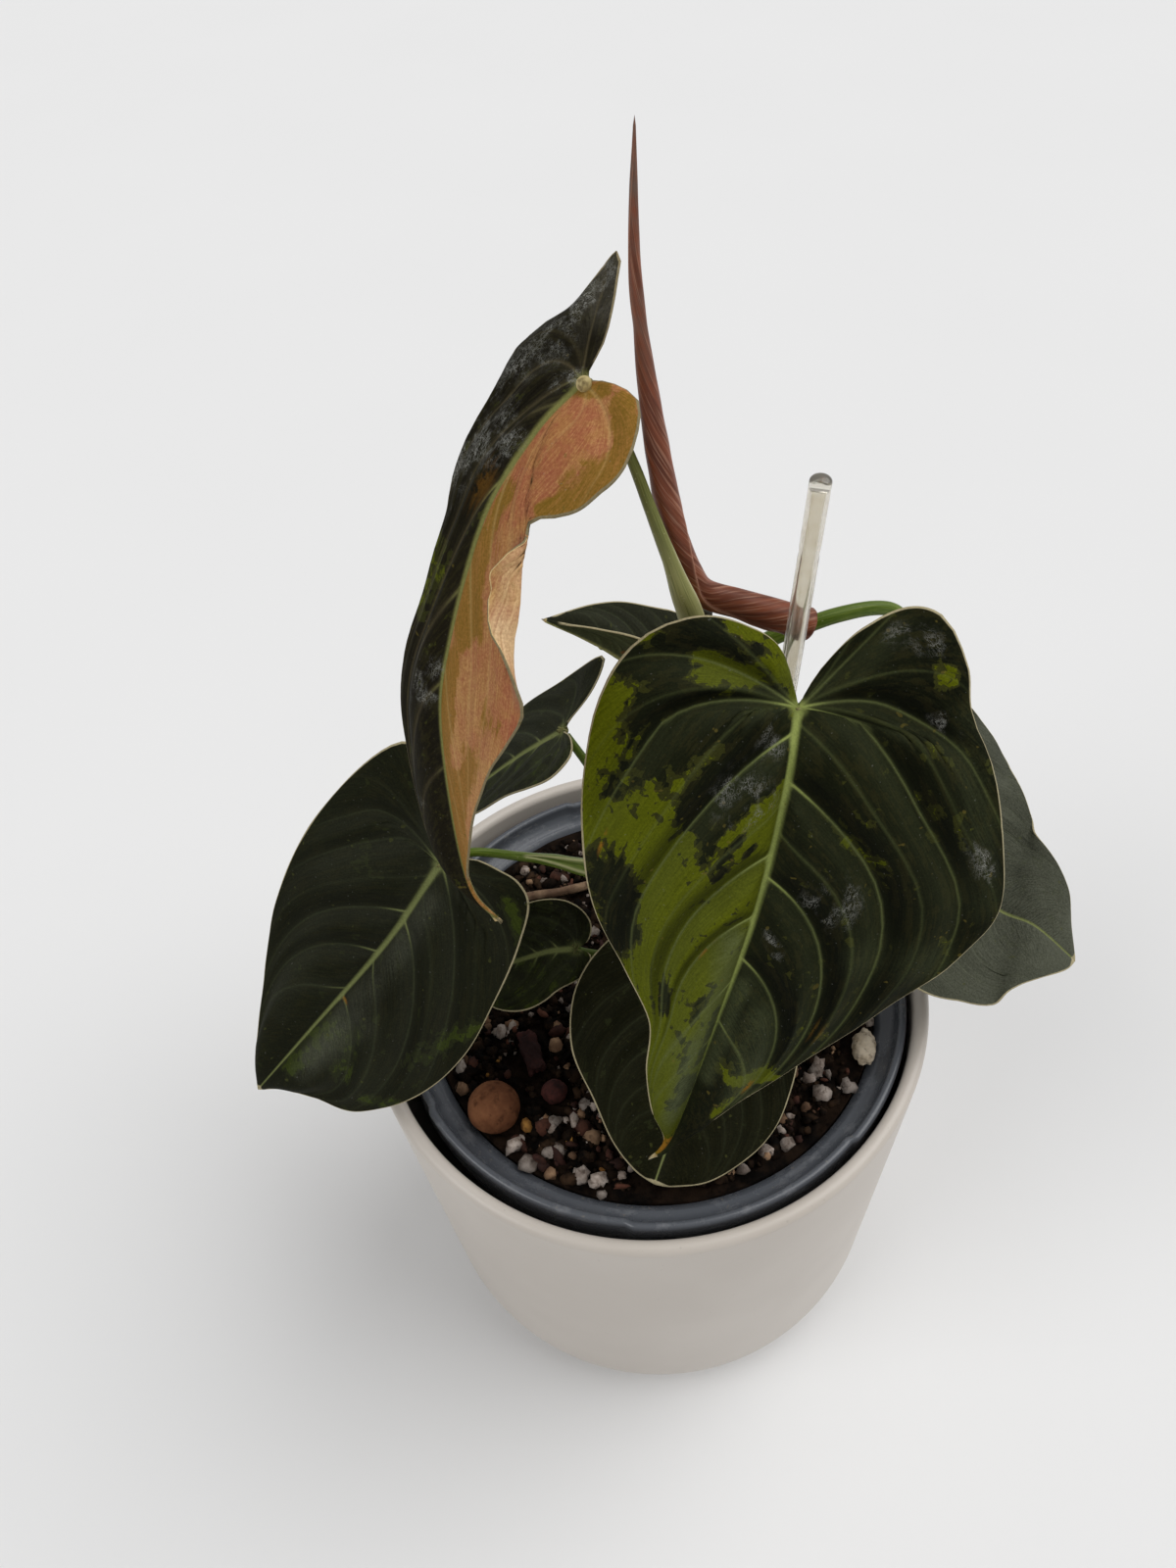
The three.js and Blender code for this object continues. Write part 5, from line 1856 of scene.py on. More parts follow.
BLADES = [
    Blade(
        node="leaf_blade_front", slot="leaf_front",
        midrib=[
            (27, -17, 225), (24, -25, 213), (18.5, -33, 189.5), (10.5, -41, 164.5), (1, -48.5, 134),
            (-4.5, -51, 129.5),
        ],
        face=(0.05, -0.75, 0.65), rib_fade=0.75,
        left=Half(
            outline=[
                (5, -9.5), (12, -13), (20, -13.5), (28, -9.5), (33, -2), (35, 9), (34, 24), (29.5, 42),
                (21, 56), (13, 68), (10.5, 81), (6.5, 93), (1.6, 101), (0.7, 105),
            ],
            fold=[12, 10, 8], curl=[-10, -10, 0],
            veins=lay(
                (0.082, 0.45), (0.128, 1), (0.18, 0.3), (0.228, 1), (0.3, 0.3), (0.366, 1), (0.44, 0.3),
                (0.506, 1), (0.588, 0.9), (0.68, 0.7), (0.77, 0.5),
            ),
            base=0.68,
            splash=strokes(
                (23.5, -10.8, 17.6, -11.8, 4.3, -0.6), (30.1, -5, 22.9, -6.3, 4.8, -0.6),
                (27.4, 2.6, 21.7, -1.5, 5.3, -0.55), (20.4, -1.4, 17.1, -1.2, 2.9, -0.5),
                (15, -9.5, 9.7, -8.7, 2.9, -0.5), (18.4, 4.1, 5.8, -0.2, 6.7, -0.5),
                (28.5, 13.6, 18.1, 5.9, 6.7, -0.35), (14.4, 16.5, 5.8, 8.3, 8.7, -0.7),
                (13.9, 19.9, 10, 19.1, 2.9, -0.5), (6.5, 3.7, 2.1, 6.6, 7.7, -0.6),
                (30, 29.7, 24, 46.5, 5.8, -0.45), (25.3, 30.9, 23.2, 50.2, 4.8, -0.35),
                (12, 25.2, 9.9, 30, 2.9, -0.5), (7.3, 22.7, 5.4, 25.2, 1.9, -0.5),
                (13, 58.4, 11.3, 63.9, 1.7, -0.6), (3.5, 82.5, 1.9, 80.6, 2.2, -0.5),
                (3.9, 88.3, 0, 83.4, 3.4, -0.4), (6, 70, 2, 88, 1.6, -0.34), (1.6, 62, 1.2, 76, 1.6, -0.42),
                (4.8, 56, 6.4, 66, 1.6, -0.32),
            ),
            dust=strokes((10.2, 13.8, 5, 16.2, 4.8, 0.8), (5.1, 4.9, 3.1, 7.5, 1.9, 0.8)),
            rust=strokes(
                (0.6, 99, 0.4, 105, 1.6, 0.9), (7.6, 48.7, 7.1, 49.1, 0.8, 0.8),
                (30.3, 25.3, 30.2, 25.8, 0.9, 1),
            ),
            haze=strokes((2.8, 46, 2.2, 92, 4.4, 0.6), (5.5, 70, 3.2, 97, 3.4, 0.35)),
        ),
        right=Half(
            outline=[
                (3, -7), (8, -14), (15, -18.5), (21, -17.5), (26, -10.5), (28, -3), (33, 6), (38, 18),
                (41.5, 31), (37.5, 41), (28, 54), (18, 71), (9.5, 86), (2, 100.5), (0.7, 105),
            ],
            fold=[12, 10, 8], curl=[-10, -10, 0],
            veins=lay(
                (0.049, 0.45), (0.071, 0.9), (0.13, 0.3), (0.192, 1), (0.245, 0.3), (0.295, 1), (0.355, 0.3),
                (0.417, 1), (0.475, 0.3), (0.534, 1), (0.646, 0.9), (0.74, 0.6),
            ),
            base=0.14,
            splash=strokes(
                (21.1, -9.5, 23.5, -8.2, 2.9, 0.45), (10.2, 16.3, 12.7, 15.9, 2.7, 0.35),
                (10.2, 20, 20, 25.8, 3.2, 0.34), (21.7, 4.6, 24.2, 5.2, 2.4, 0.3),
                (23.8, 12.2, 30.1, 16.5, 2.9, 0.3), (15.1, 61.8, 19.3, 63, 4.2, 0.18),
                (19.3, 53.2, 22.5, 53.6, 2.5, 0.2), (14.3, 59.1, 18.3, 62.3, 2.4, 0.1),
                (6.1, 78, 13.8, 76, 3, 0.46), (4.4, 73.9, 11, 75.8, 3.4, 0.3),
                (2.6, 97.3, 3.7, 79, 2.5, -0.3), (4.5, 88.4, 12.5, 75.6, 2.6, 0.42),
                (2.4, 46, 15.4, 51.5, 1.9, 0.14), (8.2, 49.8, 12.6, 49.9, 2.5, 0.12),
                (32.9, 37, 37.2, 40.6, 2.4, 0.2),
            ),
            dust=strokes(
                (10.6, 34.7, 14.6, 32.2, 4.3, 1), (34.3, 19.9, 36.6, 23.3, 2.4, 1),
                (23.3, -1, 24.7, 0.2, 1.9, 1), (3.8, 42.9, 5.2, 45.1, 1.4, 0.8),
                (13.6, -14.2, 21.1, -13.3, 2.4, 0.6),
            ),
            rust=strokes((9.7, 81.5, 10.2, 79.7, 0.9, 1), (17.6, 61.6, 18.7, 62.1, 1.2, 0.2)),
            haze=strokes(
                (1.5, 56, 1.5, 80, 3, 0.4), (7, 62, 9, 84, 5, 0.3), (28, -2, 38, 30, 5, 0.14),
                (20, 44, 33, 42, 6, 0.16),
            ),
        ),
        sheen_bloom=0.006, vein_share=0.8, quilt=2.6,
    ),
    Blade(
        node="leaf_blade_tall", slot="leaf_tall",
        midrib=[
            (-4.5, -4, 280.5), (-11.5, -7, 275.5), (-20, -11, 265.5), (-27.5, -18, 249.5), (-31.5, -23, 234),
            (-32, -29, 203), (-27.5, -31, 191),
        ],
        face=(-0.75, -0.45, 0.3),
        left=Half(
            outline=[
                (3.3, -6.8), (8.9, -12.7), (13.5, -16.8), (13.1, -11.4), (12.9, -6.2), (15, -2), (15.5, 3.2),
                (14, 8.1), (12.6, 12.1), (12.7, 17.4), (12.5, 23), (11.2, 28.6), (10.8, 35), (11.5, 45),
                (12.3, 55), (11.4, 65), (10, 75), (7.2, 85), (3.5, 91.5), (1, 96),
            ],
            fold=[-4, -6, -2, 10, 26], curl=[-6, -6, 0, 0, 0],
            veins=lay(
                (0.091, 1), (0.16, 0.3), (0.226, 1), (0.327, 0.9), (0.364, 0.5), (0.452, 1), (0.56, 0.7),
                (0.66, 0.6), (0.76, 0.5),
            ),
            base=0.22, splash=strokes((8.7, 32.9, 10.2, 40.5, 6.7, 0.22)),
            dust=strokes(
                (10.9, -9.5, 12.7, -14.3, 5.2, 0.55), (10.6, -5.6, 9, -8.3, 3.6, 0.6),
                (9.8, -3.2, 10.1, -5.2, 3.9, 0.9), (11, 4.8, 8.5, -1, 5.5, 0.45),
                (13.3, 8.1, 11.7, 5.8, 3.1, 0.4), (2.7, 1.7, 1.6, 0.3, 2, 0.9),
                (10.6, 15.8, 3.1, 13.3, 5.5, 0.9), (10.3, 21.8, 9.1, 18.7, 3.1, 0.9),
                (11.9, 17.1, 11.5, 25, 2.3, 0.8), (7.4, 16.1, 7.6, 13.8, 3.1, 0.9),
                (4.1, 50.7, 1, 48.6, 2.1, 0.8), (7.1, 56.5, 0.6, 52.2, 1.6, 0.8),
                (8.3, 73.8, 5.8, 74.6, 1.8, 0.5),
            ),
            rust=strokes((2.6, 18.7, 3, 21.4, 2.2, 0.3)),
            haze=strokes((6, -9, 12, -14, 5, 0.3), (9, 0, 8, 22, 5, 0.05)),
        ),
        right=Half(
            outline=[
                (4, -2.2), (9.1, -3.3), (12.7, -1.3), (15.5, 1.8), (17.1, 5.3), (17.3, 8.1), (16.4, 10.6),
                (15.3, 12.9), (12.9, 15.8), (10.4, 18), (9.6, 19.7), (11.4, 21.8), (17.4, 26.8), (21, 30.4),
                (19, 38.4), (21.3, 44.4), (18.3, 51.8), (14.6, 58.1), (11.4, 64.2), (7.8, 71), (4.7, 79),
                (1.5, 88), (0.8, 96),
            ],
            fold=[4, 0, 0], late=[0, 0, 0, 0, 0, 0.2, 0.8, 1, 1, 0.8, 0.5, 0.3, 0.1, *[0] * 8],
            crease=[8.9, 8.9, 8.9, 8.9, 11.2, 13.4, 15.8, 16.1, 18, *[21] * 12],
            bend=[*[0] * 8, 150, 163, 157, 171, 176, 149, 124, 96, 43, 15, 10, *[0] * 22],
            veins=lay(
                (0.114, 1), (0.2, 0.6), (0.298, 0.6), (0.42, 0.8), (0.53, 0.8), (0.64, 0.7), (0.74, 0.5),
            ),
            base=0.74, blush=1, lift=0.35,
            splash=strokes(
                (8.9, -1.4, 14.4, 1.1, 3.6, -0.6), (14.4, 1.1, 16.8, 7.1, 3.2, -0.6),
                (16.8, 7.1, 15.8, 10.9, 3.8, -0.6), (15.4, 11.8, 10.8, 16.7, 3.1, -0.6),
                (1, 1.2, 4.4, -1.2, 2.4, -0.5), (3.1, 34.6, 5.7, 39.7, 5, -0.7),
                (2, 46.7, 3.9, 53.6, 3.4, -0.65), (4.7, 65.4, 4.1, 71, 3.4, -0.6),
                (1.2, 77.1, 1.5, 85, 3.3, -0.5), (1.5, 27, 3, 31, 3.4, -0.4),
                (12.7, 50.2, 15.5, 49.8, 3.3, -0.45), (2.4, 18, 2.8, 46, 3.6, -0.5),
                (1.4, 50, 2.2, 84, 2.6, -0.5), (12, 12.5, 15.2, 4, 4.4, -0.45), (9, 33, 12, 31, 2.6, -0.4),
                (8, 58, 6.6, 66, 2.6, -0.42), (3, 68, 1.6, 97, 4.2, -0.45), (3, 52, 3.5, 62, 2.4, -0.35),
                (12, 53, 9, 64, 2.6, -0.3), (6, 40, 8, 52, 3, 0.3),
            ),
            rust=strokes((5.3, 26, 12, 27.6, 1.2, 0.8)),
            haze=strokes((13, 25, 17.5, 36, 5.5, 0.62), (18, 36, 20, 42, 3.5, 0.5)),
        ),
        sheen_bloom=0.004, rib_width=1.15, vein_share=0.55, quilt=1.9,
    ),
    Blade(
        node="leaf_blade_left",
        midrib=[(-40, -10, 183.5), (-54, -15, 165.5), (-75, -20, 142.5), (-90.5, -24, 126)],
        face=(-0.2, -0.7, 0.7),
        left=Half(
            outline=[
                (5, -8), (12, -15), (18, -17.5), (22, -12), (25, -1), (27, 14), (25.5, 30), (20, 44),
                (12.5, 58), (5.5, 70),
            ],
            fold=[6], curl=[-10],
            veins=lay(
                (0.1, 0.6), (0.16, 0.3), (0.224, 1), (0.29, 0.8), (0.37, 0.3), (0.456, 1), (0.562, 0.9),
                (0.67, 0.7),
            ),
            base=0.2, splash=strokes((14.6, 8.1, 10.6, 10, 5.8, 0.14)),
            haze=strokes((6, -2, 18, 18, 7, 0.05), (14, 30, 8, 55, 5, 0.05)),
        ),
        right=Half(
            outline=[
                (5, -6), (10, -8), (15, -8.5), (19.5, -5.5), (22.5, 4), (25, 17), (27.5, 30), (26.5, 45),
                (20, 60), (11, 66.5), (4, 72),
            ],
            fold=[6], curl=[-10],
            veins=lay(
                (0.08, 0.6), (0.164, 1), (0.25, 0.3), (0.334, 1), (0.4, 0.3), (0.472, 1), (0.58, 0.7),
                (0.687, 0.8),
            ),
            base=0.22,
            splash=strokes(
                (1.4, 64.5, 4.1, 48.2, 5.8, 0.3), (12.4, 55.9, 7.7, 43.4, 4.8, 0.22),
                (20.6, 37.8, 22.4, 31.7, 3.8, 0.22), (15.9, -4.3, 21.6, 0.3, 2.9, 0.35),
                (22.3, 29.2, 25.4, 22.8, 2.9, 0.3), (18.8, 56.6, 25.1, 49.5, 2.3, 0.3),
            ),
            rust=strokes((1.2, 41.4, 2, 41.4, 0.8, 0.8)),
            haze=strokes((3, 8, 4.5, 58, 4.5, 0.32), (8, 40, 5, 62, 5, 0.22)),
        ),
        vein_share=0.3, rib_width=1.6, quilt=2.2,
    ),
    Blade(
        node="leaf_blade_rear_left",
        midrib=[(-13.5, 18, 189), (-24.5, 20, 179.5), (-36, 21, 168.5), (-47, 22, 155)],
        face=(-0.6, 0, 0.75),
        left=Half(
            outline=[(2, -3), (6, -9), (12, -13), (13.5, -5), (13, 4), (12, 14), (9.5, 25), (5, 37)],
            fold=[5], base=0.22,
        ),
        right=Half(
            outline=[(4, -3), (9, -3.5), (12, 1), (11.5, 8), (10, 16), (8, 26), (4.5, 38)], fold=[5],
            base=0.38,
        ),
        sheen_bloom=0.12, vein_share=0.35,
    ),
    Blade(
        node="leaf_blade_rear",
        midrib=[(14, 22, 193), (5, 22.5, 198.5), (-4, 23.5, 206.5), (-15, 24, 214.5)], face=(0, 0.1, 1),
        left=Half(outline=[(4, -4), (9, -5), (13, -1), (15.5, 7), (13, 17), (8, 26)], fold=[37], base=0.2),
        right=Half(outline=[(3, -4), (8, -5), (11, -1), (11, 8), (8.5, 17), (4, 26)], fold=[72], base=0.2),
        sheen_bloom=0.12, vein_share=0.35,
    ),
    Blade(
        node="leaf_blade_right",
        midrib=[
            (57.5, 8, 180.5), (63.5, 5, 165.5), (70.5, 0, 151.5), (80.5, -5, 141), (88.5, -9, 138.5),
            (98, -14, 130),
        ],
        face=(0.5, -0.5, 0.7),
        left=Half(
            outline=[
                (5, -4), (12, -9), (19, -6), (24, 3), (26, 13), (29, 24), (29, 37), (22, 52), (13, 61),
                (4.5, 69),
            ],
            base=0.26, haze=strokes((8, -4, 18, 30, 14, 0.35)),
        ),
        right=Half(
            outline=[
                (5, -4), (12, -8), (19, -4), (25, 5), (29, 17), (31.5, 30), (29, 43), (20.5, 53.5), (13, 62),
                (4, 68.5),
            ],
            base=0.26,
        ),
        # Painted sheen over the whole blade, standing in for its grey reflection.
        sheen_bloom=0.9, vein_share=0.25,
    ),
    Blade(
        node="leaf_blade_lower_front",
        midrib=[(13, -15, 144), (8.5, -27, 137), (3, -40, 126.5), (-3.5, -51.5, 118)], face=(0, -0.6, 0.8),
        left=Half(
            outline=[
                (4, -5), (10, -9), (17, -8), (22, -2), (26, 5), (27.5, 13), (25.5, 23), (20, 32), (13, 41),
                (6, 46),
            ],
            fold=[4], curl=[-6, -6, 0], base=0.24,
        ),
        right=Half(
            outline=[
                (4, -5), (10, -8), (16, -6), (20, 0), (22.5, 10), (22.7, 21), (21, 30), (16, 37.5),
                (10.5, 43.5), (4, 47),
            ],
            fold=[4], curl=[-6, -6, 0], base=0.18,
        ),
        sheen_bloom=0.1, vein_share=0.22,
    ),
    Blade(
        node="leaf_blade_small_low",
        midrib=[(-15.5, -8, 146), (-21.5, -8, 146), (-27.5, -8, 144), (-43, -8, 138.5)],
        face=(-0.2, -0.5, 0.85),
        left=Half(outline=[(2, -3), (6, -3.5), (10, 0), (11.5, 7), (9.5, 15), (5, 23)], fold=[5], base=0.34),
        right=Half(outline=[(2, -3), (6, -1), (9, 6), (11, 14), (9, 21), (4, 26)], fold=[5], base=0.42),
        vein_share=0.15,
    ),
]

STONES = [
    Stone(
        node="clay_pebble", slot="clay",
        finish=GroundFinish("clay", (0.12, 0.045, 0.02), (0.22, 0.092, 0.042), 380, relief=0.12, gloss=0.12),
        at=(-38, -29.6, 117.2), size=(6.2, 6.2, 5.6), hills=0.012, seed=4,
    ),
    Stone(
        node="small_clay_pebble", slot="dark_clay",
        finish=GroundFinish("dark_clay", (0.03, 0.007, 0.006), (0.09, 0.024, 0.018), 500),
        at=(-24, -26.5, 115.8), size=(3.3, 3.1, 3.1), hills=0.04,
    ),
    Stone(
        node="bark_chip", slot="bark",
        finish=GroundFinish("bark", (0.02, 0.005, 0.004), (0.09, 0.024, 0.018), 260), at=(-29, -15.5, 115.8),
        size=(3.2, 7.6, 2.1), turn=14, hills=0.1, squareness=0.5, seed=7,
    ),
    Stone(
        node="cream_pebble", slot="pumice",
        finish=GroundFinish("cream_stone", (0.42, 0.33, 0.22), (0.64, 0.55, 0.42), 420),
        at=(49, -22.6, 114.9), size=(3.3, 5.4, 2.5), turn=-16, hills=0.08, seed=5,
    ),
]
MOIST_MIX = GroundFinish(
    "moist_mix", (0.0022, 0.0015, 0.0011), (0.015, 0.0085, 0.005), 420, relief=0.6, gloss=0.06,
)
GRAINS = [
    Grains(
        finish=GroundFinish(
            "perlite", (0.18, 0.14, 0.115), (0.42, 0.36, 0.315), 620, relief=0.4, gloss=0.15, spread=0.8,
        ),
        slot="pumice", count=430, low=0.5, high=2.4, flatness=(0.6, 1.15), jitter=0.32, rise=0.2, seed=11,
        fixed=[
            (-20, -28.7, 1.5), (-16.9, -30, 1.9), (-34, -38, 2.3), (-30.8, -42.7, 2), (-25.1, -35.1, 1.4),
            (-19.4, -46.5, 2.1), (-14.7, -47.5, 1.9), (-15.1, -51, 1.4), (-10.6, -47, 1.6),
            (43.2, -31.3, 2.1), (36.8, -32, 1.8), (26, -40.5, 1.6), (52, -15.3, 1.8), (-35.9, -8.8, 2),
        ],
    ),
    Grains(
        finish=GroundFinish(
            "crumbs", (0.0032, 0.0022, 0.0015), (0.028, 0.0155, 0.0085), 500, gloss=0.08, spread=1.4,
        ),
        slot="potting_mix", count=3400, low=0.4, high=1.9, flatness=(0.45, 1.25), jitter=0.32, rise=0.1,
        seed=12,
    ),
    Grains(
        finish=GroundFinish("bark_bits", (0.022, 0.006, 0.004), (0.085, 0.03, 0.016), 300, spread=1.2),
        slot="bark", count=480, low=0.5, high=2.3, flatness=(0.35, 1.3), jitter=0.25, rise=0.2, seed=13,
    ),
    Grains(
        finish=GroundFinish("tan_bits", (0.14, 0.075, 0.04), (0.34, 0.21, 0.12), 500, spread=0.8),
        slot="root", count=260, low=0.5, high=2, flatness=(0.45, 1.2), jitter=0.25, rise=0.2, seed=15,
        fixed=[(-23.1, -14.9, 2.4), (-24, -10, 2), (32.7, -35.7, 1.5), (-16, -38, 1.8), (-26, -45, 1.5)],
    ),
    Grains(
        finish=GroundFinish("ochre_bits", (0.17, 0.07, 0.012), (0.36, 0.18, 0.04), 600), slot="bark",
        count=24, low=0.4, high=1, flatness=(0.5, 1.2), jitter=0.25, rise=0.35, seed=14,
        fixed=[(-30.9, -33.6, 1.7), (-21.5, -37.9, 1.4)],
    ),
]

STEM = Stalk(
    node="main_stem", slot="stem",
    path=[(5, 5, 72), (7, 4.5, 115), (10, 4, 165), (12, 2.4, 205), (12.9, 0.9, 232)],
    radii=[3.1, 3.1, 2.945, 2.635, 2.17], joints=[54, 79, 98, 104, 125, 133], steps=260, sides=48,
)
ROOT = Stalk(
    node="root_piece", slot="root",
    path=[(-29, 30, 115.5), (-21, 29, 117.5), (-12, 31, 116.6), (-3, 35, 114.6)], radii=[1.1, 1.2, 0.8],
    lumps=0.12,
)
PETIOLES = [
    Stalk(
        node="petiole_front", slot="petiole",
        path=[(10.7, -0.9, 167), (14, -7, 184), (21, -13, 205), (26.6, -15.8, 224)],
        radii=[1.9, 1.5, 1.3, 1.3],
    ),
    Stalk(
        node="petiole_tall", slot="petiole",
        path=[
            (10.7, -2.5, 205), (11.6, -4.1, 222), (11.3, -4.1, 234), (7.6, -4.1, 247.5), (4.5, -2.8, 257.5),
            (2, 0, 265.2), (-1, 1, 273), (-3.7, -3.3, 279.8),
        ],
        radii=[2.2, 2.6, 2.8, 2.8, 2.3, 1.45, 1.05, 0.9, 0.8, 0.8], facing=(1, 0.2, 0.3),
        groove=[0.2, 0.5, 0.5, 0.4, 0.1, 0.1, 0.1], pale=[0.8, 1, 1, 1, 1, 0.9, 0.6, 0.25, 0.1, 0, 0, 0],
        steps=160, sides=40,
    ),
    Stalk(
        node="petiole_left", slot="petiole",
        path=[
            (4.9, 3.7, 152), (-4, 1, 160), (-12.7, -2, 168), (-19, -5, 175.2), (-25, -8, 181.2),
            (-33, -9, 185), (-39, -8.8, 182.8),
        ],
        radii=[1.9, 2.2, 2.3, 1.5, 1, 0.9, 0.9], facing=(-0.2, -0.6, 1),
        groove=[0.3, 0.5, 0.6, 0.6, 0.6, 0.6, 0.6, 0.6, 0.55, 0.5, 0.25, 0, 0, 0, 0],
        groove_width=[0.9, 0.95, 0.95, 0.9, 0.85, 0.8, 0.72, 0.62, 0.48, 0.3, 0.12, 0.1, 0.1, 0.1, 0.1],
        steps=160, sides=48,
    ),
    Stalk(
        node="petiole_rear_left", slot="petiole",
        path=[(5.6, 7, 150), (-1, 10, 167), (-8, 13, 181), (-12.8, 17.2, 188.2)], radii=[1.5, 1.1, 0.9],
    ),
    Stalk(
        node="petiole_rear", slot="petiole",
        path=[(10.9, 8, 172.5), (12, 13, 183), (13.6, 20, 191), (14.4, 21.8, 191.9)], radii=[1.4, 1.1, 0.9],
    ),
    Stalk(
        node="petiole_right", slot="petiole",
        path=[
            (15.1, 5.6, 196.5), (23, 9.5, 213), (36, 10.5, 219), (50, 13, 218.4), (56.5, 14, 209),
            (57.5, 13, 196), (56.8, 11.5, 187), (56.2, 9.4, 180),
        ],
        radii=[1.9, 1.7, 1.5, 1.3, 1.1, 1.1], steps=140,
    ),
    Stalk(
        node="petiole_lower_front", slot="petiole",
        path=[(9.2, 0.3, 126.5), (11, -7, 136), (12.8, -13, 141.5), (13.2, -15, 142.6)],
        radii=[1.5, 1.1, 0.9],
    ),
    Stalk(
        node="petiole_small_low", slot="petiole",
        path=[(3.6, 2.8, 122), (-4, -2, 131), (-11, -5.6, 139.5), (-15.1, -7.7, 144.9)], radii=[1.3, 1, 0.8],
    ),
]
ROLL = Roll(
    node="new_leaf_roll", slot="rolled_leaf",
    path=[
        (4.2, 0, 311.5), (3.7, 0, 299.5), (3.8, 0, 290), (4.9, 0, 275.5), (7, 0, 258.5), (9, 0, 249),
        (11, 0.1, 242.2), (13.6, 0.3, 237.2), (19.4, 0.5, 234), (27.4, 0.8, 229.4), (32, 1, 227),
    ],
    radii=[0.2, 0.55, 0.8, 0.95, 1.15, 1.5, 1.8, 2.05, 2.15, 2.2, 2.3, 2.4, 2.6, 2.8, 3.1, 3.3],
)

GREEN_BLADE = BladeFinish(
    "blade_green", deep=(0.0064, 0.0066, 0.0027), cloud=(0.0105, 0.012, 0.0045), middle=(0.017, 0.02, 0.006),
    light=(0.024, 0.034, 0.004), lit=(0.036, 0.048, 0.007), sheen_bloom=(0.092, 0.097, 0.07),
    rib=(0.17, 0.19, 0.07), specks=(0.07, 0.075, 0.02),
)
UPPER_FINISHES = {
    "leaf_blade_front": BladeFinish(
        "blade_front", deep=(0.0036, 0.0042, 0.0016), cloud=(0.0085, 0.01, 0.0034),
        light=(0.064, 0.074, 0.0006), lit=(0.098, 0.114, 0.003), sheen_bloom=(0.085, 0.1, 0.045),
        vein=(0.12, 0.14, 0.05), rib=(0.3, 0.35, 0.1), olive_share=0.4, coarse=0.55, fine=0.85, tiles=0.34,
        slope_shading=0.115, hollow=0.55, vein_gain=1.0,
    ),
    "leaf_blade_tall": BladeFinish(
        "blade_tall", deep=(0.0062, 0.0047, 0.0019), cloud=(0.011, 0.009, 0.0035), sheen_bloom=(0.13, 0.12, 0.095),
        vein=(0.13, 0.105, 0.055), rib=(0.19, 0.19, 0.06), rim=(0.22, 0.18, 0.1), olive_share=0.5,
        vein_sheen_share=0.03, slope_shading=0.04,
    ),
    "leaf_blade_right": replace(
        GREEN_BLADE, name="blade_right", deep=(0.0105, 0.0112, 0.0068), cloud=(0.017, 0.0195, 0.0105),
        light=(0.03, 0.038, 0.012),
    ),
    "leaf_blade_lower_front": replace(
        GREEN_BLADE, name="blade_lower", deep=(0.0032, 0.0032, 0.0008), cloud=(0.0058, 0.0062, 0.0013),
        sheen_bloom=(0.06, 0.062, 0.035),
    ),
}
UNDER_FINISH = BladeFinish(
    "blade_under", deep=(0.04, 0.045, 0.018), cloud=(0.05, 0.055, 0.02), middle=(0.055, 0.055, 0.022),
    light=(0.08, 0.085, 0.03), lit=(0.1, 0.1, 0.03), vein=(0.1, 0.11, 0.05), rib=(0.26, 0.25, 0.1),
    rim=(0.42, 0.31, 0.15), specks=(0.2, 0.06, 0.015), coarse=0.6, fine=0.9, slope_shading=0.05, hollow=0.05,
    vein_gain=1.5,
)
BLUSHED_FINISH = replace(
    UNDER_FINISH, name="blade_blushed", sheen_bloom=(0.66, 0.46, 0.26), rim=(0.66, 0.5, 0.24),
    blush=(0.42, 0.215, 0.075), blush_deep=(0.39, 0.145, 0.068), gold=(0.17, 0.098, 0.018),
    blush_vein=(0.55, 0.39, 0.16), specks=(0.14, 0.03, 0.01), coarse=0.7, fine=1.3, vein_gain=1.6,
)


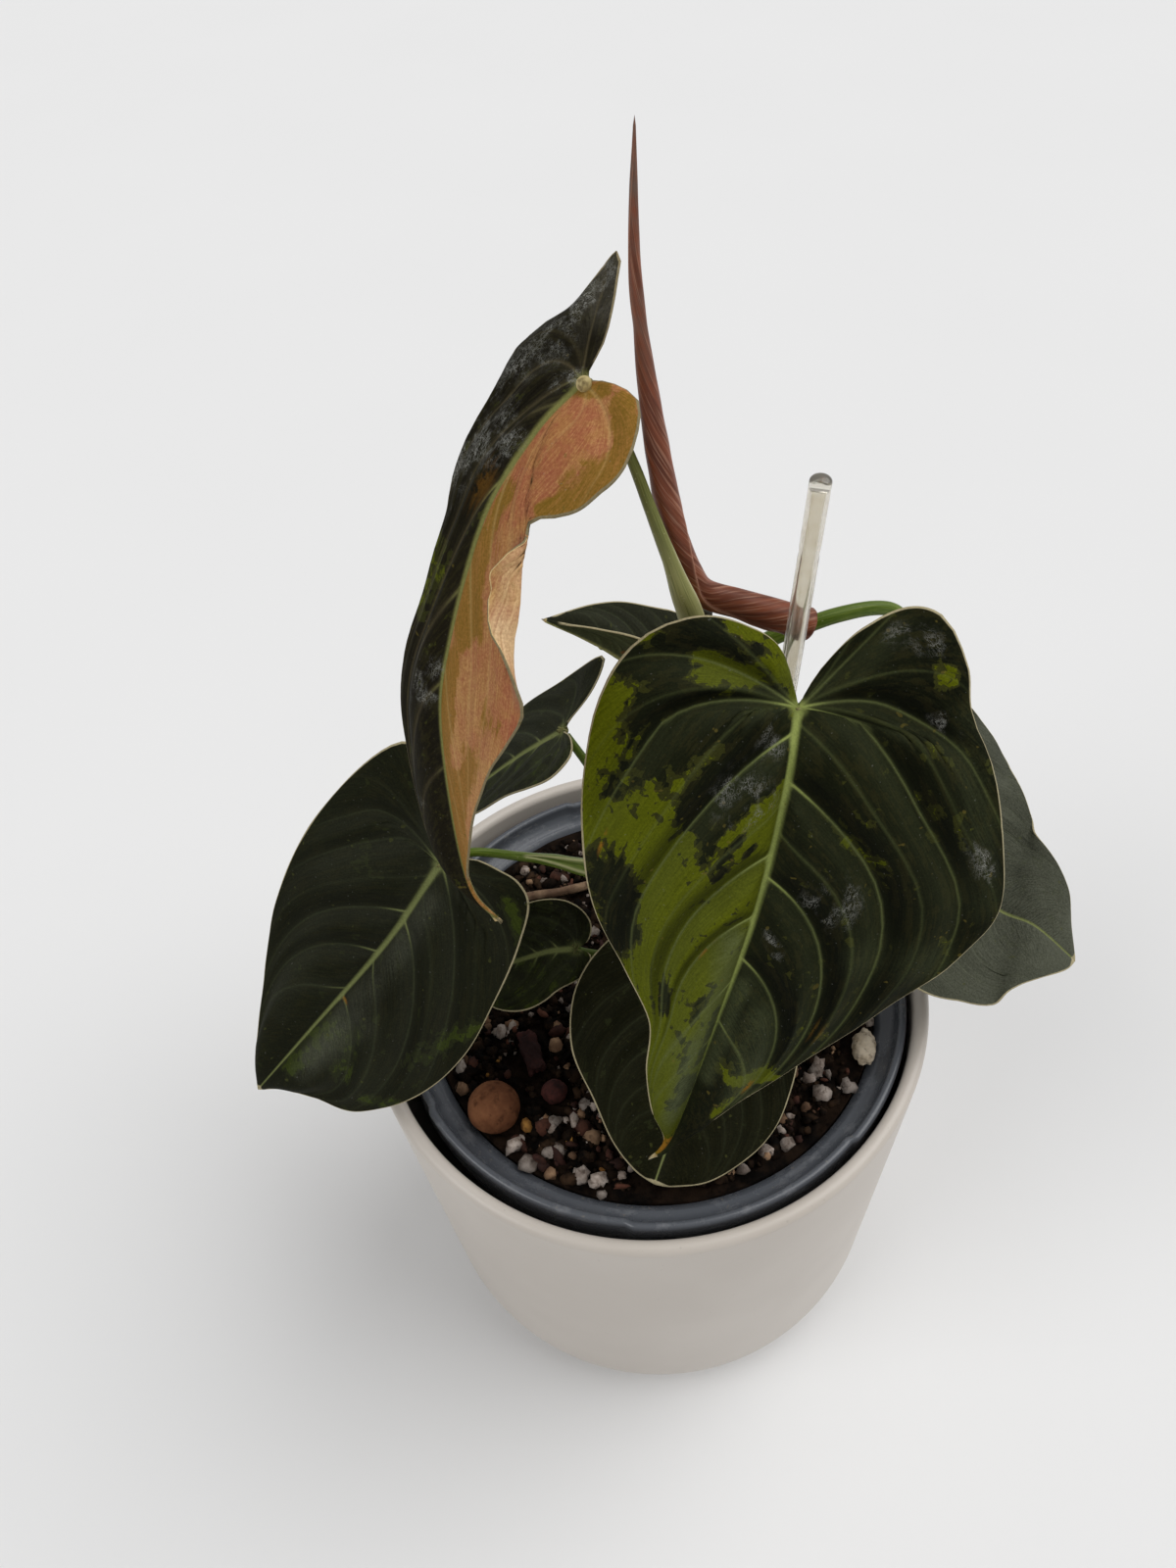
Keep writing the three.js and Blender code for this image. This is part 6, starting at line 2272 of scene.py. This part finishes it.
@dataclass
class Stake:
    """Clear tube with a domed top, closed at both ends, and a joint ring near the top.

    Overruns are how far the tube runs past its foot and top, and ends how far inside them its bore stops.
    """

    foot: Point = (19, -6, 72)
    top: Point = (30, -6, 262)
    radius: float = 1.75
    bore: float = 1.05
    joint: float = 13.4
    overruns: Flat = (0.6, 0.65)
    ends: Flat = (1.0, 1.4)

    def skin(self, radius: float, start: float, end: float, steps: int = 60, sides: int = 48) -> Skin:
        """Rod between two distances along the stake, with round ends of half an ellipse each.

        Args:
            radius: Radius of the rod.
            start: Where it starts, in millimetres from the foot.
            end: Where it ends.
            steps: Rings between the ends.
            sides: Points in a ring.

        Returns:
            The closed skin.
        """
        foot, top = np.array(self.foot, float), np.array(self.top, float)
        axis = unit(top - foot)
        side = unit(np.cross(axis, [0.0, -1.0, 0.0]))
        front = np.cross(side, axis)
        length = np.linalg.norm(top - foot)
        turn = np.linspace(0.04, math.pi / 2, 10)
        dome = radius * 0.6
        middle = np.linspace(start + dome, end - dome, steps)[1:-1]
        along = np.concatenate([
            start + dome * (1 - np.cos(turn)), middle, end - dome * (1 - np.cos(turn[::-1]))
        ])
        rings = radius * np.concatenate([np.sin(turn), np.ones(steps - 2), np.sin(turn[::-1])])
        ring = 0.1 * bell(along - (length - self.joint), 0.5) * (radius > self.bore)
        angle = np.linspace(0, 2 * math.pi, sides, endpoint=False)[None, :, None]
        round_ = np.cos(angle) * front + np.sin(angle) * side
        points = foot + axis * along[:, None, None] + (rings - ring)[:, None, None] * round_
        poles = [foot + axis * start, foot + axis * end]
        rows = len(along)
        return Skin(
            np.concatenate([points.reshape(-1, 3), poles]),
            [grid_faces(rows, sides, closed=True), *end_fans(rows, sides)],
        )

    def build(self, effects: Effects) -> None:
        """Makes the tube: the outer skin, and the bore turned inside out.

        Args:
            effects: Shared node groups.
        """
        length = float(np.linalg.norm(np.subtract(self.top, self.foot)))
        outer = self.skin(self.radius, -self.overruns[0], length + self.overruns[1], 160)
        bore = self.skin(self.bore, self.ends[0], length - self.ends[1])
        count = len(outer.points)
        whole = Skin(
            np.concatenate([outer.points, bore.points]),
            [*outer.faces, *(face[:, ::-1] + count for face in bore.faces)],
        )
        finish = ClearFinish("clear_plastic").material(effects)
        install(whole.object("dressed_stake", [finish]), "stake")


@dataclass(frozen=True)
class Window:
    """Wide soft light from far off.

    Way is the direction from the plant to the light, strength is in watts per square metre, and angle is how
    wide the light looks, in degrees.
    """

    name: str
    way: Point
    strength: float
    angle: float

    def build(self) -> None:
        """Makes the light."""
        data = bpy.data.lights.new(self.name, "SUN")
        data.energy = self.strength
        data.angle = math.radians(self.angle)
        made = bpy.data.objects.new(self.name, data)
        back = unit(np.array(self.way, float))
        right = unit(np.cross([0.0, 1.0, 0.01], back))
        made.matrix_world = placed(right, np.cross(back, right), back)
        bpy.context.scene.collection.objects.link(made)


def placed(right: Array, up: Array, back: Array, place: Point = (0.0, 0.0, 0.0)) -> Matrix:
    """Matrix of an object.

    Args:
        right: Its X axis.
        up: Its Y axis.
        back: Its Z axis.
        place: Its place in millimetres.

    Returns:
        The matrix, in metres.
    """
    matrix = np.eye(4)
    matrix[:3, :3] = np.stack([right, up, back], 1)
    matrix[:3, 3] = np.array(place) * MM
    return Matrix(matrix.tolist())


@dataclass
class Studio:
    """Pale floor, soft lights and the camera of the photograph: a 27 mm lens over a 36 mm sensor."""

    camera_place: Point = (-9.3, -154.46, 366.28)
    camera_right: Point = (0.99519, -0.07335, -0.06489)
    camera_up: Point = (0.09793, 0.74536, 0.65944)
    lens: float = 27.0
    sensor: float = 36.0
    floor: Colour = (0.8, 0.8, 0.8)
    floor_half: float = 9000.0
    floor_level: float = -0.2
    surround: float = 0.36
    windows: tuple[Window, ...] = (
        Window("left_window", (-0.75, -0.3, 0.8), 0.8, 34),
        Window("right_window", (0.7, 0.1, 0.9), 1.95, 60),
    )

    def build(self) -> None:
        """Builds the floor, the lights and the camera."""
        self._floor()
        self._world()
        for window in self.windows:
            window.build()
        self._camera()
        bpy.context.scene.view_settings.view_transform = "Standard"

    def _floor(self) -> None:
        """Large plain floor just under the planter."""
        made = bpy.data.materials.new("studio_floor")
        made.use_nodes = True
        graph = Graph(made.node_tree)
        tone = graph.step(graph.noise(graph.place(), 6, 2, 0.5), 0.2, 0.8)
        graph.feed(made.node_tree.nodes["Principled BSDF"], {
            "Base Color": graph.blend(tone, self.floor, tuple(0.99 * c for c in self.floor)),
            "Roughness": 0.9,
            "Specular IOR Level": 0.1,
        })
        half, level = self.floor_half, self.floor_level
        corners = [(-half, -half, level), (half, -half, level), (half, half, level), (-half, half, level)]
        Skin(np.array(corners, float), [np.array([[0, 1, 2, 3]])]).object("floor", [made])

    def _world(self) -> None:
        """Even grey surroundings."""
        world = bpy.data.worlds.new("studio")
        world.use_nodes = True
        shader = world.node_tree.nodes["Background"]
        shader.inputs["Color"].default_value = (1, 1, 1, 1)
        shader.inputs["Strength"].default_value = self.surround
        bpy.context.scene.world = world

    def _camera(self) -> None:
        """Camera at the photograph's angle, with everything in focus."""
        data = bpy.data.cameras.new("camera")
        data.lens = self.lens
        data.sensor_width = self.sensor
        data.dof.use_dof = False
        made = bpy.data.objects.new("camera", data)
        right, up = np.array(self.camera_right), np.array(self.camera_up)
        made.matrix_world = placed(right, up, np.cross(right, up), self.camera_place)
        bpy.context.scene.collection.objects.link(made)
        bpy.context.scene.camera = made


class Foliage:
    """Blades, petioles, stem, root and the leaf that is still rolled."""

    def build(self, effects: Effects) -> None:
        """Makes every blade, then the stalks, the young leaf and the pale knob where the tall blade starts.

        Args:
            effects: Shared node groups.
        """
        self._blades(effects)
        self._stalks(effects)
        ROLL.build(RollFinish("young_leaf").material(effects))
        self._knob(effects)

    def _blades(self, effects: Effects) -> None:
        """Blades, each with its own upper and under finish.

        Args:
            effects: Shared node groups.
        """
        under = UNDER_FINISH.material(effects)
        blushed = BLUSHED_FINISH.material(effects)
        upper = {node: finish.material(effects) for node, finish in UPPER_FINISHES.items()}
        green = GREEN_BLADE.material(effects)
        for blade in BLADES:
            blade.build([upper.get(blade.node, green), blushed if blade.right.blush else under])

    def _stalks(self, effects: Effects) -> None:
        """Petioles, of which those with a pale sheath are more olive, then the stem and the root.

        Args:
            effects: Shared node groups.
        """
        green = StalkFinish("petiole", (0.07, 0.12, 0.006), (0.15, 0.205, 0.025), (0.46, 0.46, 0.22))
        olive = StalkFinish("sheath_petiole", (0.085, 0.1, 0.014), (0.16, 0.165, 0.04), (0.5, 0.47, 0.26))
        stem = StalkFinish("stem", (0.05, 0.055, 0.02), (0.12, 0.11, 0.045), (0.2, 0.19, 0.09))
        root = GroundFinish("root", (0.13, 0.075, 0.045), (0.3, 0.2, 0.12), 420)
        plain, sheathed = green.material(effects), olive.material(effects)
        for stalk in PETIOLES:
            stalk.build(sheathed if any(stalk.pale) else plain)
        STEM.build(stem.material(effects))
        ROOT.build(root.material(effects))

    def _knob(self, effects: Effects) -> None:
        """Small pale knob where the tall blade meets its petiole.

        Args:
            effects: Shared node groups.
        """
        base, quads = ball(12)
        pale = GroundFinish("pale_knob", (0.46, 0.37, 0.16), (0.62, 0.52, 0.28), 600, relief=0.1)
        bead = Skin(base * (1.15, 1.1, 1.15) + (-4.4, -5.1, 280.8), [quads])
        install(bead.object("tall_junction", [pale.material(effects)]))


def main() -> None:
    """Builds every piece and the studio."""
    logging.basicConfig(level=logging.INFO, format="%(name)s: %(message)s")
    effects = Effects()
    Planter().build(effects)
    NurseryPot().build(effects)
    Foliage().build(effects)
    stake = Stake()
    stake.build(effects)
    for stone in STONES:
        stone.build(effects)
    standing = [
        STEM.skin(grow=0.35),
        ROOT.skin(grow=0.3),
        stake.skin(stake.radius + 0.35, start=-1, end=120),
        *(stone.skin(divisions=10, grow=0.3) for stone in STONES),
    ]
    PottingMix().build(effects, standing)
    Studio().build()


if __name__ == "__main__":
    main()
